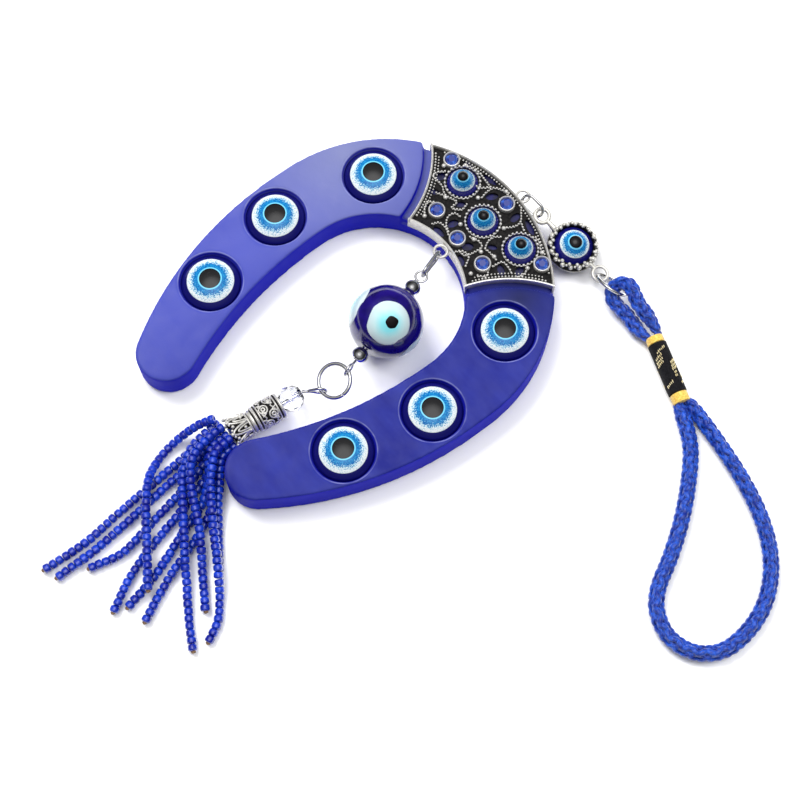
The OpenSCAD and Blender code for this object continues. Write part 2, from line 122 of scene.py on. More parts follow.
def lathe(profile, n=48):
    """A profile of (radius, height) turned round Z. A radius of 0 is a pole."""
    verts, rows = [], []
    for r, z in profile:
        count = 1 if r < 1e-9 else n
        rows.append([len(verts) + k % count for k in range(n + 1)])
        verts += [polar(r, 2 * math.pi / n * k, z) for k in range(count)]
    faces = []
    for a, b in zip(rows, rows[1:]):
        for k in range(n):
            face = dict.fromkeys((a[k], a[k + 1], b[k + 1], b[k]))
            if len(face) > 2:
                faces.append(tuple(face))
    return np.array(verts), faces


def frames(points, closed=False):
    """Tangents and two directions across, turning as little as they can."""
    p = np.asarray(points, float)
    if closed:
        t = np.roll(p, -1, 0) - np.roll(p, 1, 0)
    else:
        t = np.gradient(p, axis=0)
    t /= np.linalg.norm(t, axis=1)[:, None]
    up = np.array([0, 0, 1.0]) if abs(t[0][2]) < 0.9 else np.array([1.0, 0, 0])
    a = [unit(np.cross(up, t[0]))]
    for i in range(1, len(p)):
        v = a[-1] - t[i] * (a[-1] @ t[i])
        a.append(unit(v))
    a = np.array(a)
    if closed:  # take the leftover turn out, spread along the loop
        v = a[-1] - t[0] * (a[-1] @ t[0])
        b0 = np.cross(t[0], a[0])
        off = math.atan2(unit(v) @ b0, unit(v) @ a[0])
        b = np.cross(t, a)
        w = -off * np.arange(len(p)) / len(p)
        a = a * np.cos(w)[:, None] + b * np.sin(w)[:, None]
    return t, a, np.cross(t, a)


def tube_faces(rows, n, closed=False):
    """Quads between rows of n points, and a cap at each end of an open tube."""
    faces = []
    for i in range(rows if closed else rows - 1):
        a, b = i * n, (i + 1) % rows * n
        faces += [(a + (k + 1) % n, b + (k + 1) % n, b + k, a + k) for k in range(n)]
    if not closed:
        faces += [tuple(range(n - 1, -1, -1)), tuple((rows - 1) * n + k for k in range(n))]
    return faces


def tube_rings(points, wide, thick, across, up, n):
    """An oval ring of n points at each point, on its own two directions."""
    angle = 2 * np.pi * np.arange(n) / n
    wide = np.broadcast_to(wide, (len(points),))[:, None, None] * np.cos(angle)[None, :, None]
    thick = np.broadcast_to(thick, (len(points),))[:, None, None] * np.sin(angle)[None, :, None]
    return (points[:, None] + wide * across[:, None] + thick * up[:, None]).reshape(-1, 3)


def sweep(points, radius, n=8, closed=False):
    """A round tube through points. radius is one number or one for each point."""
    p = np.asarray(points, float)
    _, a, b = frames(p, closed)
    return tube_rings(p, radius, radius, a, b, n), tube_faces(len(p), n, closed)


def ball(centre, r, n=10, rows=6, high=1.0):
    turn = [math.pi * k / rows for k in range(1, rows)]
    middle = [(r * math.sin(a), -r * high * math.cos(a)) for a in turn]
    return place(lathe([(0, -r * high), *middle, (0, r * high)], n), at=centre)


def ring(radius, wire, n=48, sides=8, at=(0, 0, 0), turn=None):
    """A closed ring of round wire."""
    return place(sweep(circle_path(radius, n), wire, sides, True), turn, at)


def circle_path(r, n=96, start=0.0, end=360.0):
    closed = abs(end - start) >= 359.9
    a = np.radians(np.linspace(start, end, n, endpoint=not closed))
    return np.stack([r * np.cos(a), r * np.sin(a), 0 * a], 1)


def oval_path(length, half, n=20):
    a = np.radians(np.linspace(90, 270, n))
    left = np.stack([half + half * np.cos(a), half * np.sin(a), 0 * a], 1)
    a = np.radians(np.linspace(-90, 90, n))
    right = np.stack([length - half + half * np.cos(a), half * np.sin(a), 0 * a], 1)
    return np.concatenate([left, right])


def smooth_path(points, per=8):
    """A Catmull-Rom curve through points, of any width of row."""
    p = np.asarray(points, float)
    p = np.vstack([2 * p[0] - p[1], p, 2 * p[-1] - p[-2]])
    out = []
    for i in range(1, len(p) - 2):
        for k in range(per):
            t = k / per
            a, b, c, d = p[i - 1], p[i], p[i + 1], p[i + 2]
            out.append(
                0.5 * (2 * b + (c - a) * t + (2 * a - 5 * b + 4 * c - d) * t * t
                       + (3 * b - a - 3 * c + d) * t ** 3)
            )
    out.append(p[-2])
    return np.array(out)


def resample(points, step):
    """Points along a line at one spacing, and how far along each is."""
    p = np.asarray(points, float)
    d = np.concatenate([[0], np.cumsum(np.linalg.norm(np.diff(p[:, :3], axis=0), axis=1))])
    n = max(2, int(round(d[-1] / step)) + 1)
    s = np.linspace(0, d[-1], n)
    return np.stack([np.interp(s, d, p[:, k]) for k in range(p.shape[1])], 1), s


def object_from(name, part, material, body, replaces=(), slot=None, matrix=None, at=(0, 0, 0),
                smooth=True, sharp=None):
    """part is in millimetres about its own origin. matrix and at put it in the row frame."""
    verts, faces = part
    me = bpy.data.meshes.new(name)
    me.from_pydata((np.asarray(verts) * MM).tolist(), [], faces)
    me.update()
    me.materials.append(material)
    me.polygons.foreach_set("use_smooth", [smooth] * len(me.polygons))
    if sharp is not None:
        me.set_sharp_from_angle(angle=math.radians(sharp))
    ob = bpy.data.objects.new(name, me)
    bpy.context.scene.collection.objects.link(ob)
    turn = Matrix.Identity(4) if matrix is None else Matrix(matrix.tolist()).to_4x4()
    ob.matrix_world = Matrix.Translation(Vector(np.asarray(at, float) * MM)) @ turn
    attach(ob, body)
    if replaces:
        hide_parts(*replaces)
    return ob


# ------------------------------------------------------------------ materials


class Nodes:
    """Builds one node material, with short calls for the nodes used here."""

    def __init__(self, name):
        self.mat = bpy.data.materials.new(name)
        self.mat.use_nodes = True
        self.tree = self.mat.node_tree
        self.bsdf = self.tree.nodes["Principled BSDF"]
        self.coord = self.new("TexCoord").outputs

    def new(self, kind, operation=None):
        node = self.tree.nodes.new("ShaderNode" + kind)
        if operation:
            node.operation = operation
        return node

    def put(self, value, socket):
        """Links another node's output to a socket, or sets the socket's own value."""
        if isinstance(value, bpy.types.NodeSocket):
            self.tree.links.new(value, socket)
        else:
            socket.default_value = value

    def set(self, **values):
        for key, value in values.items():
            self.put(value, self.bsdf.inputs[key.replace("_", " ")])

    def point(self, stretch=(1, 1, 1)):
        """Object coordinates in millimetres."""
        n = self.new("Mapping")
        n.inputs["Scale"].default_value = [s / MM for s in stretch]
        self.put(self.coord["Object"], n.inputs["Vector"])
        return n.outputs["Vector"]

    def math(self, operation, a, b=0.0, clamp=False):
        n = self.new("Math", operation)
        n.use_clamp = clamp
        self.put(a, n.inputs[0])
        self.put(b, n.inputs[1])
        return n.outputs[0]

    def times(self, a, b):
        return self.math("MULTIPLY", a, b)

    def offset(self, value, middle, gain):
        """How far a value is from its middle, times a gain."""
        return self.times(self.math("SUBTRACT", value, middle), gain)

    def noise(self, scale, detail=3.0, vector=None, rough=0.5):
        n = self.new("TexNoise")
        vector = self.point() if vector is None else vector
        for key, value in zip(("Scale", "Detail", "Roughness", "Vector"), (scale, detail, rough, vector)):
            self.put(value, n.inputs[key])
        return n.outputs["Fac"]

    def ramp(self, value, stops):
        n = self.new("ValToRGB")
        e = n.color_ramp.elements
        for _ in stops[2:]:
            e.new(0.5)
        for element, (position, colour) in zip(e, stops):
            element.position = position
            element.color = (*colour, 1) if hasattr(colour, "__len__") else (colour, colour, colour, 1)
        self.put(value, n.inputs["Fac"])
        return n.outputs["Color"]

    def mix(self, share, a, b):
        n = self.new("Mix")
        n.data_type = "RGBA"
        sockets = [s for s in n.inputs if s.type == "RGBA"]
        self.put(share, n.inputs["Factor"])
        for socket, x in zip(sockets, (a, b)):
            self.put((*x, 1) if isinstance(x, tuple) else x, socket)
        return next(s for s in n.outputs if s.type == "RGBA")

    def fade(self, value, low, high, a, b):
        """From a to b as the value goes from low to high."""
        return self.mix(self.ramp(value, [(low, 0.0), (high, 1.0)]), a, b)

    def bump(self, height, strength=0.3, distance=0.1):
        n = self.new("Bump")
        for key, value in (("Strength", strength), ("Distance", distance * MM), ("Height", height)):
            self.put(value, n.inputs[key])
        self.put(n.outputs["Normal"], self.bsdf.inputs["Normal"])

    def xyz(self, vector):
        n = self.new("SeparateXYZ")
        self.put(vector, n.inputs[0])
        return n.outputs

    def combine(self, *values):
        n = self.new("CombineXYZ")
        for socket, value in zip(n.inputs, values):
            self.put(value, socket)
        return n.outputs[0]

    def vector_math(self, operation, a, b, out=0):
        n = self.new("VectorMath", operation)
        self.put(a, n.inputs[0])
        self.put(b, n.inputs[1])
        return n.outputs[out]

    def distance(self, p, centre=(0.0, 0.0)):
        """Distance in plan from a point, in millimetres."""
        x, y, _ = self.xyz(p)
        return self.vector_math("DISTANCE", self.combine(x, y, 0.0), (*centre, 0.0), "Value")

    def spot(self, p, centre, size, weight):
        """A soft round patch in plan, 'size' millimetres in radius."""
        away = self.math("DIVIDE", self.distance(p, centre), float(size))
        return self.ramp(away, [(0.0, weight), (1.0, 0.0)])

    def nearest(self, p, centres):
        """Distance in plan to the nearest of the centres, in centimetres."""
        best = self.distance(p, centres[0])
        for c in centres[1:]:
            best = self.math("MINIMUM", best, self.distance(p, c))
        return self.math("DIVIDE", best, 10.0)

    def facing_up(self):
        """How far a surface faces the piece's own +Z, from -1 to 1."""
        return self.xyz(self.coord["Normal"])[2]


def glass_material():
    """Cast cobalt glass, with light and shade painted into its colour: a painted glow down its sides, painted
    reflection haze towards the left, painted shade beside the plate's right end and in the recesses round the
    arm eyes, and a painted highlight line round each recess's lip.
    """
    m = Nodes("horseshoe_glass")
    p = m.point()
    streaks = m.noise(0.06, 3, m.point((1, 2.2, 1)), 0.55)
    cloud = m.noise(0.2, 4)
    tone = m.fade(streaks, 0.35, 0.7, (0.012, 0.016, 0.20), (0.03, 0.04, 0.30))
    tone = m.mix(m.ramp(cloud, [(0.35, 0.0), (0.8, 0.5)]), tone, (0.045, 0.05, 0.24))
    # Painted reflection: the glass grows lighter towards -X, and lighter still in a wide patch on the left
    # arm, a haze of reflected light.
    left = m.math("DIVIDE", m.math("SUBTRACT", 20.0, m.xyz(p)[0]), 60.0)
    tone = m.fade(left, 0.2, 0.8, tone, (0.07, 0.085, 0.42))
    tone = m.mix(m.spot(p, (-36, -16), 34, 0.9), tone, (0.21, 0.23, 0.42))
    # Painted shade: a dark patch on the glass beside the plate's right end.
    tone = m.mix(m.spot(p, (22, -6), 14, 0.9), tone, (0.014, 0.017, 0.07))
    up = m.facing_up()
    # Painted glow: faces that turn sideways are painted bright blue, as if lit through the glass. The same
    # mask also roughens them below.
    side = m.ramp(m.math("ABSOLUTE", up), [(0.25, 1.0), (0.8, 0.0)])
    tone = m.mix(side, tone, (0.001, 0.002, 0.50))
    near = m.nearest(p, ARM_EYES)
    # Painted shade: the recess round each arm eye is painted dark navy, most where it faces up.
    well = m.times(m.ramp(near, [(0.74, 1.0), (0.785, 0.0)]), m.ramp(up, [(0.3, 0.3), (0.7, 1.0)]))
    tone = m.mix(well, tone, (0.002, 0.002, 0.12))
    # Painted highlight: a light line round the lip of each arm eye's recess, broken up by the cloud noise.
    lip = m.ramp(near, [(0.785, 0.0), (0.805, 1.0), (0.83, 0.0)])
    tone = m.mix(m.times(lip, m.ramp(cloud, [(0.4, 0.25), (0.6, 0.8)])), tone, (0.28, 0.30, 0.62))
    polish = m.ramp(m.noise(0.3, 3), [(0.3, 0.07), (0.8, 0.18)])
    m.set(Base_Color=tone, Transmission_Weight=0.2, IOR=1.35, Specular_IOR_Level=0.12,
          Roughness=m.math("MAXIMUM", polish, m.times(side, 0.6)))
    m.bump(m.noise(0.25, 3), 0.22, 0.5)
    return m.mat


def eye_material(name, pupil, cyan, iris, white, rim_colour, scale=1.0):
    """Rings of an eye, by distance from the piece's own axis in millimetres."""
    m = Nodes(name)
    p = m.point()
    x, y, _ = m.xyz(p)
    r = m.distance(p)
    shift = m.times(m.new("ObjectInfo").outputs["Random"], 40.0)
    angle = m.math("ARCTAN2", y, x)
    around = m.combine(m.times(m.math("COSINE", angle), 5.0), m.times(m.math("SINE", angle), 5.0), shift)
    grain = m.noise(1.6, 3, around, 0.7)
    speck = m.noise(3.4, 2, m.vector_math("ADD", p, m.combine(shift, shift, 0.0)), 0.6)
    wobble = m.math("ADD", m.offset(grain, 0.5, 0.7 * scale), m.offset(speck, 0.5, 3.2 * scale))
    ragged = m.math("ADD", r, wobble)

    def step(value, edge, width=0.06 * scale):
        n = m.new("MapRange")
        n.interpolation_type = "SMOOTHSTEP"
        for key, v in (("From Min", edge - width), ("From Max", edge + width), ("Value", value)):
            m.put(v, n.inputs[key])
        return n.outputs["Result"]

    blue = m.fade(speck, 0.38, 0.6, (0.0, 0.08, 0.30), (0.01, 0.22, 0.47))
    ice = m.fade(speck, 0.35, 0.65, (0.08, 0.32, 0.50), (0.38, 0.60, 0.68))
    milk = m.fade(speck, 0.34, 0.5, (0.30, 0.45, 0.54), (0.66, 0.70, 0.71))
    c = m.mix(step(r, pupil), (0.004, 0.004, 0.005), (0.16, 0.56, 0.80))
    c = m.mix(step(r, cyan), c, blue)
    c = m.mix(step(ragged, iris, 0.18 * scale), c, ice)
    c = m.mix(step(ragged, iris + 0.45 * scale, 0.3 * scale), c, milk)
    c = m.mix(step(r, white), c, rim_colour)
    m.set(Base_Color=c, Roughness=0.2, IOR=1.5, Specular_IOR_Level=0.4,
          Coat_Weight=0.3, Coat_Roughness=0.05)
    return m.mat


def silver(name, base, rough, facing_shade):
    """Antique silver: bright on what stands up and faces out, with painted shade where it turns away, and
    random dull wear.
    """
    m = Nodes(name)
    # The last argument sets how far faces turned away from +Z are darkened: painted shade. The worn noise adds
    # random dull wear.
    up = m.ramp(m.facing_up(), [(0.05, 0.0), (0.62, 1.0)])
    worn = m.ramp(m.noise(1.1, 4, rough=0.65), [(0.32, 0.0), (0.6, 1.0)])
    turned, dull = (m.times(m.math("SUBTRACT", 1.0, x), share) for x, share in ((up, facing_shade), (worn, 0.18)))
    dark = m.math("ADD", turned, dull, clamp=True)
    m.set(Base_Color=m.mix(dark, base, (0.03, 0.028, 0.025)), Metallic=0.62,
          Roughness=m.ramp(m.noise(2.4, 3), [(0.3, rough * 0.7), (0.75, rough * 1.5)]))
    m.bump(m.noise(3.2, 3), 0.18, 0.12)
    return m.mat


def blackened():
    m = Nodes("blackened_floor")
    c = m.ramp(m.noise(1.6, 4, rough=0.7), [(0.35, (0.002, 0.002, 0.003)), (0.72, (0.022, 0.02, 0.019))])
    m.set(Base_Color=c, Metallic=0.3, Roughness=0.62, Specular_IOR_Level=0.3)
    m.bump(m.noise(4.0, 3), 0.5, 0.15)
    return m.mat


def backing_material():
    m = Nodes("navy_shade_backing")
    # Painted shade: a dark navy sheet under the plate, seen through its openings in place of the glass in
    # shadow beneath.
    c = m.ramp(m.noise(0.8, 3), [(0.35, (0.002, 0.002, 0.03)), (0.7, (0.006, 0.006, 0.10))])
    m.set(Base_Color=c, Roughness=0.3)
    return m.mat


def chrome():
    """Bright wire, with painted shade where it turns away from its own flat side."""
    m = Nodes("bright_wire")
    scratches = m.noise(1.5, 4, m.point((1, 1, 6)), 0.6)
    # Painted shade: faces that turn sideways from the wire's flat side are darkened nearly to black.
    turned = m.ramp(m.math("ABSOLUTE", m.facing_up()), [(0.12, 0.85), (0.62, 0.0)])
    tone = m.mix(m.ramp(scratches, [(0.4, 0.0), (0.75, 0.4)]), (0.95, 0.95, 0.95), (0.55, 0.55, 0.56))
    m.set(Base_Color=m.mix(turned, tone, (0.07, 0.07, 0.075)), Metallic=1.0,
          Roughness=m.ramp(scratches, [(0.3, 0.05), (0.8, 0.14)]))
    m.bump(m.noise(0.9, 2), 0.12, 0.1)
    return m.mat


def stone_material():
    m = Nodes("rhinestone")
    # Painted glints: each facet's colour changes with its direction, standing in for light and dark
    # reflections in the stone.
    c = m.fade(m.noise(1.3, 1, m.coord["Normal"]), 0.38, 0.62, (0.0, 0.012, 0.18), (0.04, 0.14, 0.62))
    m.set(Base_Color=c, Roughness=0.05, Specular_IOR_Level=0.9, Coat_Weight=0.8, Coat_Roughness=0.02)
    return m.mat


def seed_material():
    m = Nodes("seed_bead_glass")
    c = m.fade(m.noise(0.35, 2), 0.35, 0.7, (0.003, 0.012, 0.36), (0.012, 0.075, 0.78))
    m.set(Base_Color=c, Roughness=0.06, Transmission_Weight=0.4, IOR=1.5, Coat_Weight=1.0,
          Coat_Roughness=0.03)
    return m.mat


def crystal_material():
    m = Nodes("clear_crystal")
    m.set(Base_Color=m.ramp(m.noise(0.5, 2), [(0.3, (0.93, 0.95, 0.98)), (0.8, (0.99, 0.99, 1.0))]),
          Roughness=0.02, Transmission_Weight=1.0, IOR=1.52)
    return m.mat


def braid_material():
    m = Nodes("satin_cord")
    fibre = m.noise(7.0, 2)
    c = m.fade(m.noise(0.9, 3, rough=0.6), 0.38, 0.62, (0.003, 0.022, 0.26), (0.02, 0.11, 0.66))
    c = m.mix(m.ramp(fibre, [(0.4, 0.55), (0.6, 0.0)]), c, (0.001, 0.006, 0.10))
    m.set(Base_Color=c, Roughness=0.32, Specular_IOR_Level=0.75, Sheen_Weight=0.08, Sheen_Roughness=0.3)
    m.bump(fibre, 0.5, 0.1)
    return m.mat


def thread_material(name, low, high):
    m = Nodes(name)
    m.set(Base_Color=m.fade(m.noise(2.5, 3), 0.3, 0.7, low, high), Roughness=0.5, Sheen_Weight=0.3)
    m.bump(m.noise(9.0, 2), 0.35, 0.06)
    return m.mat


def brocade_material():
    m = Nodes("black_brocade")
    wave = m.new("TexWave")
    wave.bands_direction = "Z"
    for key, value in (("Scale", 1.6), ("Distortion", 0.6), ("Vector", m.point())):
        m.put(value, wave.inputs[key])
    c = m.fade(m.noise(3.0, 3), 0.3, 0.8, (0.002, 0.002, 0.003), (0.018, 0.017, 0.02))
    m.set(Base_Color=c, Roughness=0.75, Specular_IOR_Level=0.2)
    m.bump(wave.outputs["Fac"], 0.4, 0.08)
    return m.mat


def bead_material():
    """Cobalt glass, a little uneven from the lamp."""
    m = Nodes("lampwork_glass")
    c = m.fade(m.noise(0.25, 3), 0.35, 0.75, (0.004, 0.001, 0.07), (0.012, 0.003, 0.17))
    m.set(Base_Color=c, Roughness=0.14, Specular_IOR_Level=0.5, Coat_Weight=0.6, Coat_Roughness=0.08)
    m.bump(m.noise(0.16, 2), 0.35, 0.8)
    return m.mat


def spot_material():
    """Milky turquoise, stronger towards its middle."""
    m = Nodes("lampwork_spot")
    r = m.math("ADD", m.distance(m.point()), m.offset(m.noise(0.45, 2), 0.5, 1.0))
    c = m.ramp(m.math("DIVIDE", r, 6.0), [(0.0, (0.13, 0.55, 0.62)), (0.30, (0.20, 0.60, 0.66)),
                                          (0.6, (0.45, 0.62, 0.64)), (0.9, (0.50, 0.57, 0.60))])
    m.set(Base_Color=c, Roughness=0.15, Specular_IOR_Level=0.4, Coat_Weight=0.4, Coat_Roughness=0.05)
    return m.mat


def pupil_material():
    m = Nodes("lampwork_pupil")
    c = m.ramp(m.noise(1.5, 2), [(0.3, (0.001, 0.001, 0.001)), (0.8, (0.006, 0.003, 0.004))])
    m.set(Base_Color=c, Roughness=0.3, Specular_IOR_Level=0.15)
    return m.mat


def gold_material():
    m = Nodes("gold_thread")
    c = m.fade(m.noise(4.0, 2), 0.35, 0.7, (0.78, 0.62, 0.28), (0.98, 0.90, 0.62))
    m.set(Base_Color=c, Metallic=0.3, Roughness=0.4)
    return m.mat


GLASS = glass_material()
NAVY_SHADE_SHEET = backing_material()
# The last number of each silver sets its painted shade on faces turned away from +Z.
SILVER = silver("plate_silver", (0.93, 0.91, 0.87), 0.2, 0.45)
BRIGHT = silver("rim_silver", (0.82, 0.80, 0.76), 0.16, 0.35)
CHARM_SILVER = silver("charm_silver", (0.86, 0.84, 0.78), 0.2, 0.75)
TUBE_SILVER = silver("tube_silver", (0.84, 0.82, 0.78), 0.22, 0.0)
CAP_SILVER = silver("cap_silver", (0.86, 0.84, 0.79), 0.18, 0.0)
BLACK = blackened()
CHROME = chrome()
ARM_EYE = eye_material("arm_eye", 2.65, 2.95, 4.35, 5.8, (0.004, 0.004, 0.10))
PLATE_EYE = eye_material("plate_eye", 1.4, 1.6, 2.6, 3.1, (0.008, 0.008, 0.16), 0.5)
CHARM_EYE = eye_material("charm_eye", 1.65, 1.95, 3.0, 3.7, (0.006, 0.006, 0.12), 0.65)
STONE = stone_material()
SEED_GLASS = seed_material()
CRYSTAL = crystal_material()
BRAID = braid_material()
YELLOW = thread_material("yellow_thread", (0.66, 0.36, 0.04), (0.88, 0.68, 0.16))
NAVY_THREAD = thread_material("navy_thread", (0.01, 0.02, 0.15), (0.03, 0.06, 0.35))
BROWN_THREAD = thread_material("tip_thread", (0.10, 0.05, 0.02), (0.28, 0.16, 0.08))
BROCADE = brocade_material()
GOLD = gold_material()
COBALT = bead_material()
SPOT = spot_material()
PUPIL = pupil_material()

# ------------------------------------------------------------------ glass horseshoe


def build_glass():
    """A copy of the CAD glass with its edges softened, and its top face slightly uneven."""
    voxel, rounds = 0.42, 10
    top_from, ripple = 0.0082, 0.00006
    ob = bpy.data.objects.new("horseshoe_glass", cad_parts["horseshoe_body"].data.copy())
    bpy.context.scene.collection.objects.link(ob)
    mod = ob.modifiers.new("remesh", "REMESH")
    mod.mode, mod.voxel_size, mod.use_smooth_shade = "VOXEL", voxel * MM, True
    mod = ob.modifiers.new("smooth", "SMOOTH")
    mod.factor, mod.iterations = 0.5, rounds
    me = bpy.data.meshes.new_from_object(ob.evaluated_get(bpy.context.evaluated_depsgraph_get()))
    ob.modifiers.clear()
    ob.data = me
    me.polygons.foreach_set("use_smooth", [True] * len(me.polygons))
    for vertex in me.vertices:
        x, y, z = vertex.co
        if z > top_from:
            vertex.co.z += ripple * noise.noise(Vector((x * 90, y * 90, 3.0)))
    me.materials.clear()
    me.materials.append(GLASS)
    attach(ob, "horseshoe")
    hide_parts("horseshoe_body")


def dome_profile(d, wall, h, steps=26, foot=0.25):
    """A cabochon: a glued foot, a short wall and a round dome."""
    r = d / 2
    rise = h - wall
    big = (r * r + rise * rise) / (2 * rise)
    radii = [r * (1 - k / steps) for k in range(1, steps)]
    dome = [(q, h - big + math.sqrt(big * big - q * q)) for q in radii]
    return [(0, 0), (r - foot, 0), (r, foot), (r, wall - 0.1), *dome, (0, h)]


def build_arm_eyes():
    part = lathe(dome_profile(14.4, 0.7, 3.7), 96)
    for i, (x, y) in enumerate(ARM_EYES):
        object_from(f"arm_eye_dome_{i + 1}", part, ARM_EYE, "horseshoe", [f"arm_eye_{i + 1}"],
                    "arm_eye_glass", rot(z=rng.uniform(0, 360)), (x, y, 7.0))


# ------------------------------------------------------------------ crown plate


def arc(c, r, a0, a1, n):
    a = np.radians(np.linspace(a0, a1, n))
    return np.stack([c[0] + r * np.cos(a), c[1] + r * np.sin(a)], 1)


def circle_meet(c0, r0, c1, r1):
    """The upper point where two circles cross."""
    c0, c1 = np.array(c0, float), np.array(c1, float)
    d = np.linalg.norm(c1 - c0)
    a = (r0 * r0 - r1 * r1 + d * d) / (2 * d)
    h = math.sqrt(r0 * r0 - a * a)
    u = (c1 - c0) / d
    side = h * np.array([-u[1], u[0]])
    return max(c0 + a * u + side, c0 + a * u - side, key=lambda p: p[1])


def bearing(c, p):
    return math.degrees(math.atan2(p[1] - c[1], p[0] - c[0]))


def plate_outline(trim=0.0, per=28):
    """The plate's right end, top, left end and inner edge, anticlockwise, trimmed inward."""
    top_r, inner_r, end_r = OUTER_R - trim, INNER_R + trim, PLATE_END_R + trim
    high = circle_meet(OUTER_C, top_r, SHOULDER_C, end_r)
    low = circle_meet(INNER_C, inner_r, SHOULDER_C, end_r)
    a_top, a_low = bearing(OUTER_C, high), bearing(INNER_C, low)
    right = arc(SHOULDER_C, end_r, bearing(SHOULDER_C, low) % 360, bearing(SHOULDER_C, high) % 360, per)
    top = arc(OUTER_C, top_r, a_top, 180 - a_top, per * 2)
    inner = arc(INNER_C, inner_r, 180 - a_low, a_low, per)
    return right, top, right[::-1] * [-1, 1], inner


def closed_outline(trim):
    return np.concatenate([side[:-1] for side in plate_outline(trim)])


def leaf(x, y, length, width, turn, n=14):
    """A pointed oval opening."""
    a, t = math.radians(turn), 2 * np.pi * np.arange(n) / n
    along = 0.5 * length * np.cos(t)
    across = 0.5 * width * np.sin(t) * np.abs(np.sin(t)) ** 0.2
    return np.stack([x + along * math.cos(a) - across * math.sin(a),
                     y + along * math.sin(a) + across * math.cos(a)], 1)


LEAVES = [(-16.4, -0.2, 3.4, 2.2, 80), (-14.2, -4.4, 3.2, 1.6, 35), (-7.2, -1.2, 2.6, 1.7, 60),
          (-4.2, -6.0, 3.2, 2.0, 80), (-4.6, -10.1, 3.6, 1.8, 5), (3.0, -6.9, 3.0, 2.2, 60),
          (6.8, -2.2, 2.6, 1.5, 40),
          (-4.2, 6.4, 3.4, 2.0, 65), (-8.2, 8.9, 4.4, 1.5, 12), (3.9, 7.4, 3.2, 1.9, 100),
          (8.2, 8.6, 4.6, 1.6, -14),
          (4.9, -10.6, 3.2, 1.7, -20), (12.9, -4.3, 3.2, 1.8, -25), (15.8, -0.8, 3.0, 1.9, 105),
          (14.8, 6.9, 3.0, 1.4, -25), (-15.0, 7.3, 3.0, 1.3, 20), (-12.6, -8.4, 2.4, 1.4, 30),
          (10.4, -8.2, 2.2, 1.5, 60)]
SCROLLS = [[(-17.4, -2.0), (-15.6, -1.9), (-13.8, -1.9), (-12.2, -2.6), (-10.6, -2.8)],
           [(-13.3, -4.2), (-12.0, -3.4), (-10.0, -2.3), (-8.1, -1.7), (-7.7, -3.7), (-5.8, -2.1),
            (-6.1, -0.1)],
           [(-4.5, -3.5), (-6.0, -4.0), (-6.3, -5.8), (-5.0, -7.5), (-3.0, -8.4)],
           [(-7.1, -10.3), (-6.2, -8.6), (-4.0, -8.3), (-2.3, -8.9)],
           [(1.4, -5.0), (3.6, -4.0), (5.3, -4.3), (5.3, -6.7), (4.7, -9.0), (3.2, -9.5)],
           [(6.2, -4.0), (5.2, -2.5), (5.0, -0.3), (6.0, 1.0)], [(6.2, -4.0), (8.0, -3.7), (10.2, -3.7)],
           [(11.1, -5.5), (11.6, -2.8), (13.9, -2.6), (15.2, -2.9)],
           [(-5.3, 4.0), (-5.8, 5.8), (-5.6, 8.1), (-3.8, 9.4), (-1.2, 9.8)],
           [(-10.7, 7.9), (-8.6, 7.7), (-6.3, 7.6)],
           [(2.8, 10.1), (5.6, 7.8), (5.9, 5.8), (5.2, 4.3), (4.6, 3.1)], [(5.8, 7.6), (8.1, 6.8)],
           [(2.1, -11.0), (3.3, -8.9), (5.4, -8.5), (7.0, -10.8)],
           [(-16.7, 1.2), (-17.7, -0.4), (-17.6, -1.8)],
           [(-11.7, -6.3), (-12.6, -7.6), (-11.6, -9.2), (-9.9, -10.3)],
           [(16.8, 1.0), (17.4, -0.8), (17.0, -2.4)],
           [(-14.6, 6.6), (-12.8, 7.6), (-10.7, 7.9)], [(11.4, 7.9), (13.0, 7.8), (15.4, 6.4)],
           [(11.2, -6.9), (12.2, -8.4), (10.8, -10.0)], [(-8.6, 4.9), (-7.3, 6.0), (-6.3, 7.6)]]
KNOBS = [(-18.1, 1.9), (-10.8, -3.2), (-5.8, 3.2), (4.7, 3.1), (9.3, -3.6), (-9.9, -10.5), (9.4, -11.0),
         (15.6, 6.5), (16.7, 1.0), (-2.7, -4.8), (2.6, -4.7), (-2.9, 9.9), (-14.9, 6.3), (6.3, -5.4)]
EYE_R = 4.45


def flat_plate(outline, holes, z0, z1):
    """A flat sheet between two heights, with openings through it."""
    verts, edges, loops = [], [], []
    for loop in [outline, *holes]:
        n = len(verts)
        verts += [Vector(p) for p in loop]
        edges += [(n + k, n + (k + 1) % len(loop)) for k in range(len(loop))]
        loops.append(list(range(n, n + len(loop))))
    points, _, triangles, _, _, origin = delaunay_2d_cdt(verts, edges, loops, 1, 1e-5)
    top = np.array([(p.x, p.y, z1) for p in points])
    n = len(top)
    solid = [tuple(t) for t, o in zip(triangles, origin) if o == [0]]
    sides = dict.fromkeys((a, b) for t in solid for a, b in zip(t, (*t[1:], t[0])))
    faces = solid + [tuple(i + n for i in t[::-1]) for t in solid]
    faces += [(a, a + n, b + n, b) for a, b in sides if (b, a) not in sides]
    return np.concatenate([top, top - [0, 0, z1 - z0]]), faces


def wall_along(path, profile):
    """A closed profile of (inward offset, height) carried along an open flat path."""
    t = np.gradient(path, axis=0)
    t /= np.linalg.norm(t, axis=1)[:, None]
    inward = np.stack([-t[:, 1], t[:, 0]], 1)
    verts = [(*(p + out * n), z) for p, n in zip(path, inward) for out, z in profile]
    return np.array(verts), [f[::-1] for f in tube_faces(len(path), len(profile))]


def beads_on(path, step, r, z, high=0.9, jitter=0.0):
    """A row of small balls along a flat path."""
    return [ball((x + rng.uniform(-jitter, jitter), y + rng.uniform(-jitter, jitter), z),
                 r * rng.uniform(0.9, 1.1), 8, 5, high) for x, y in resample(path, step)[0]]


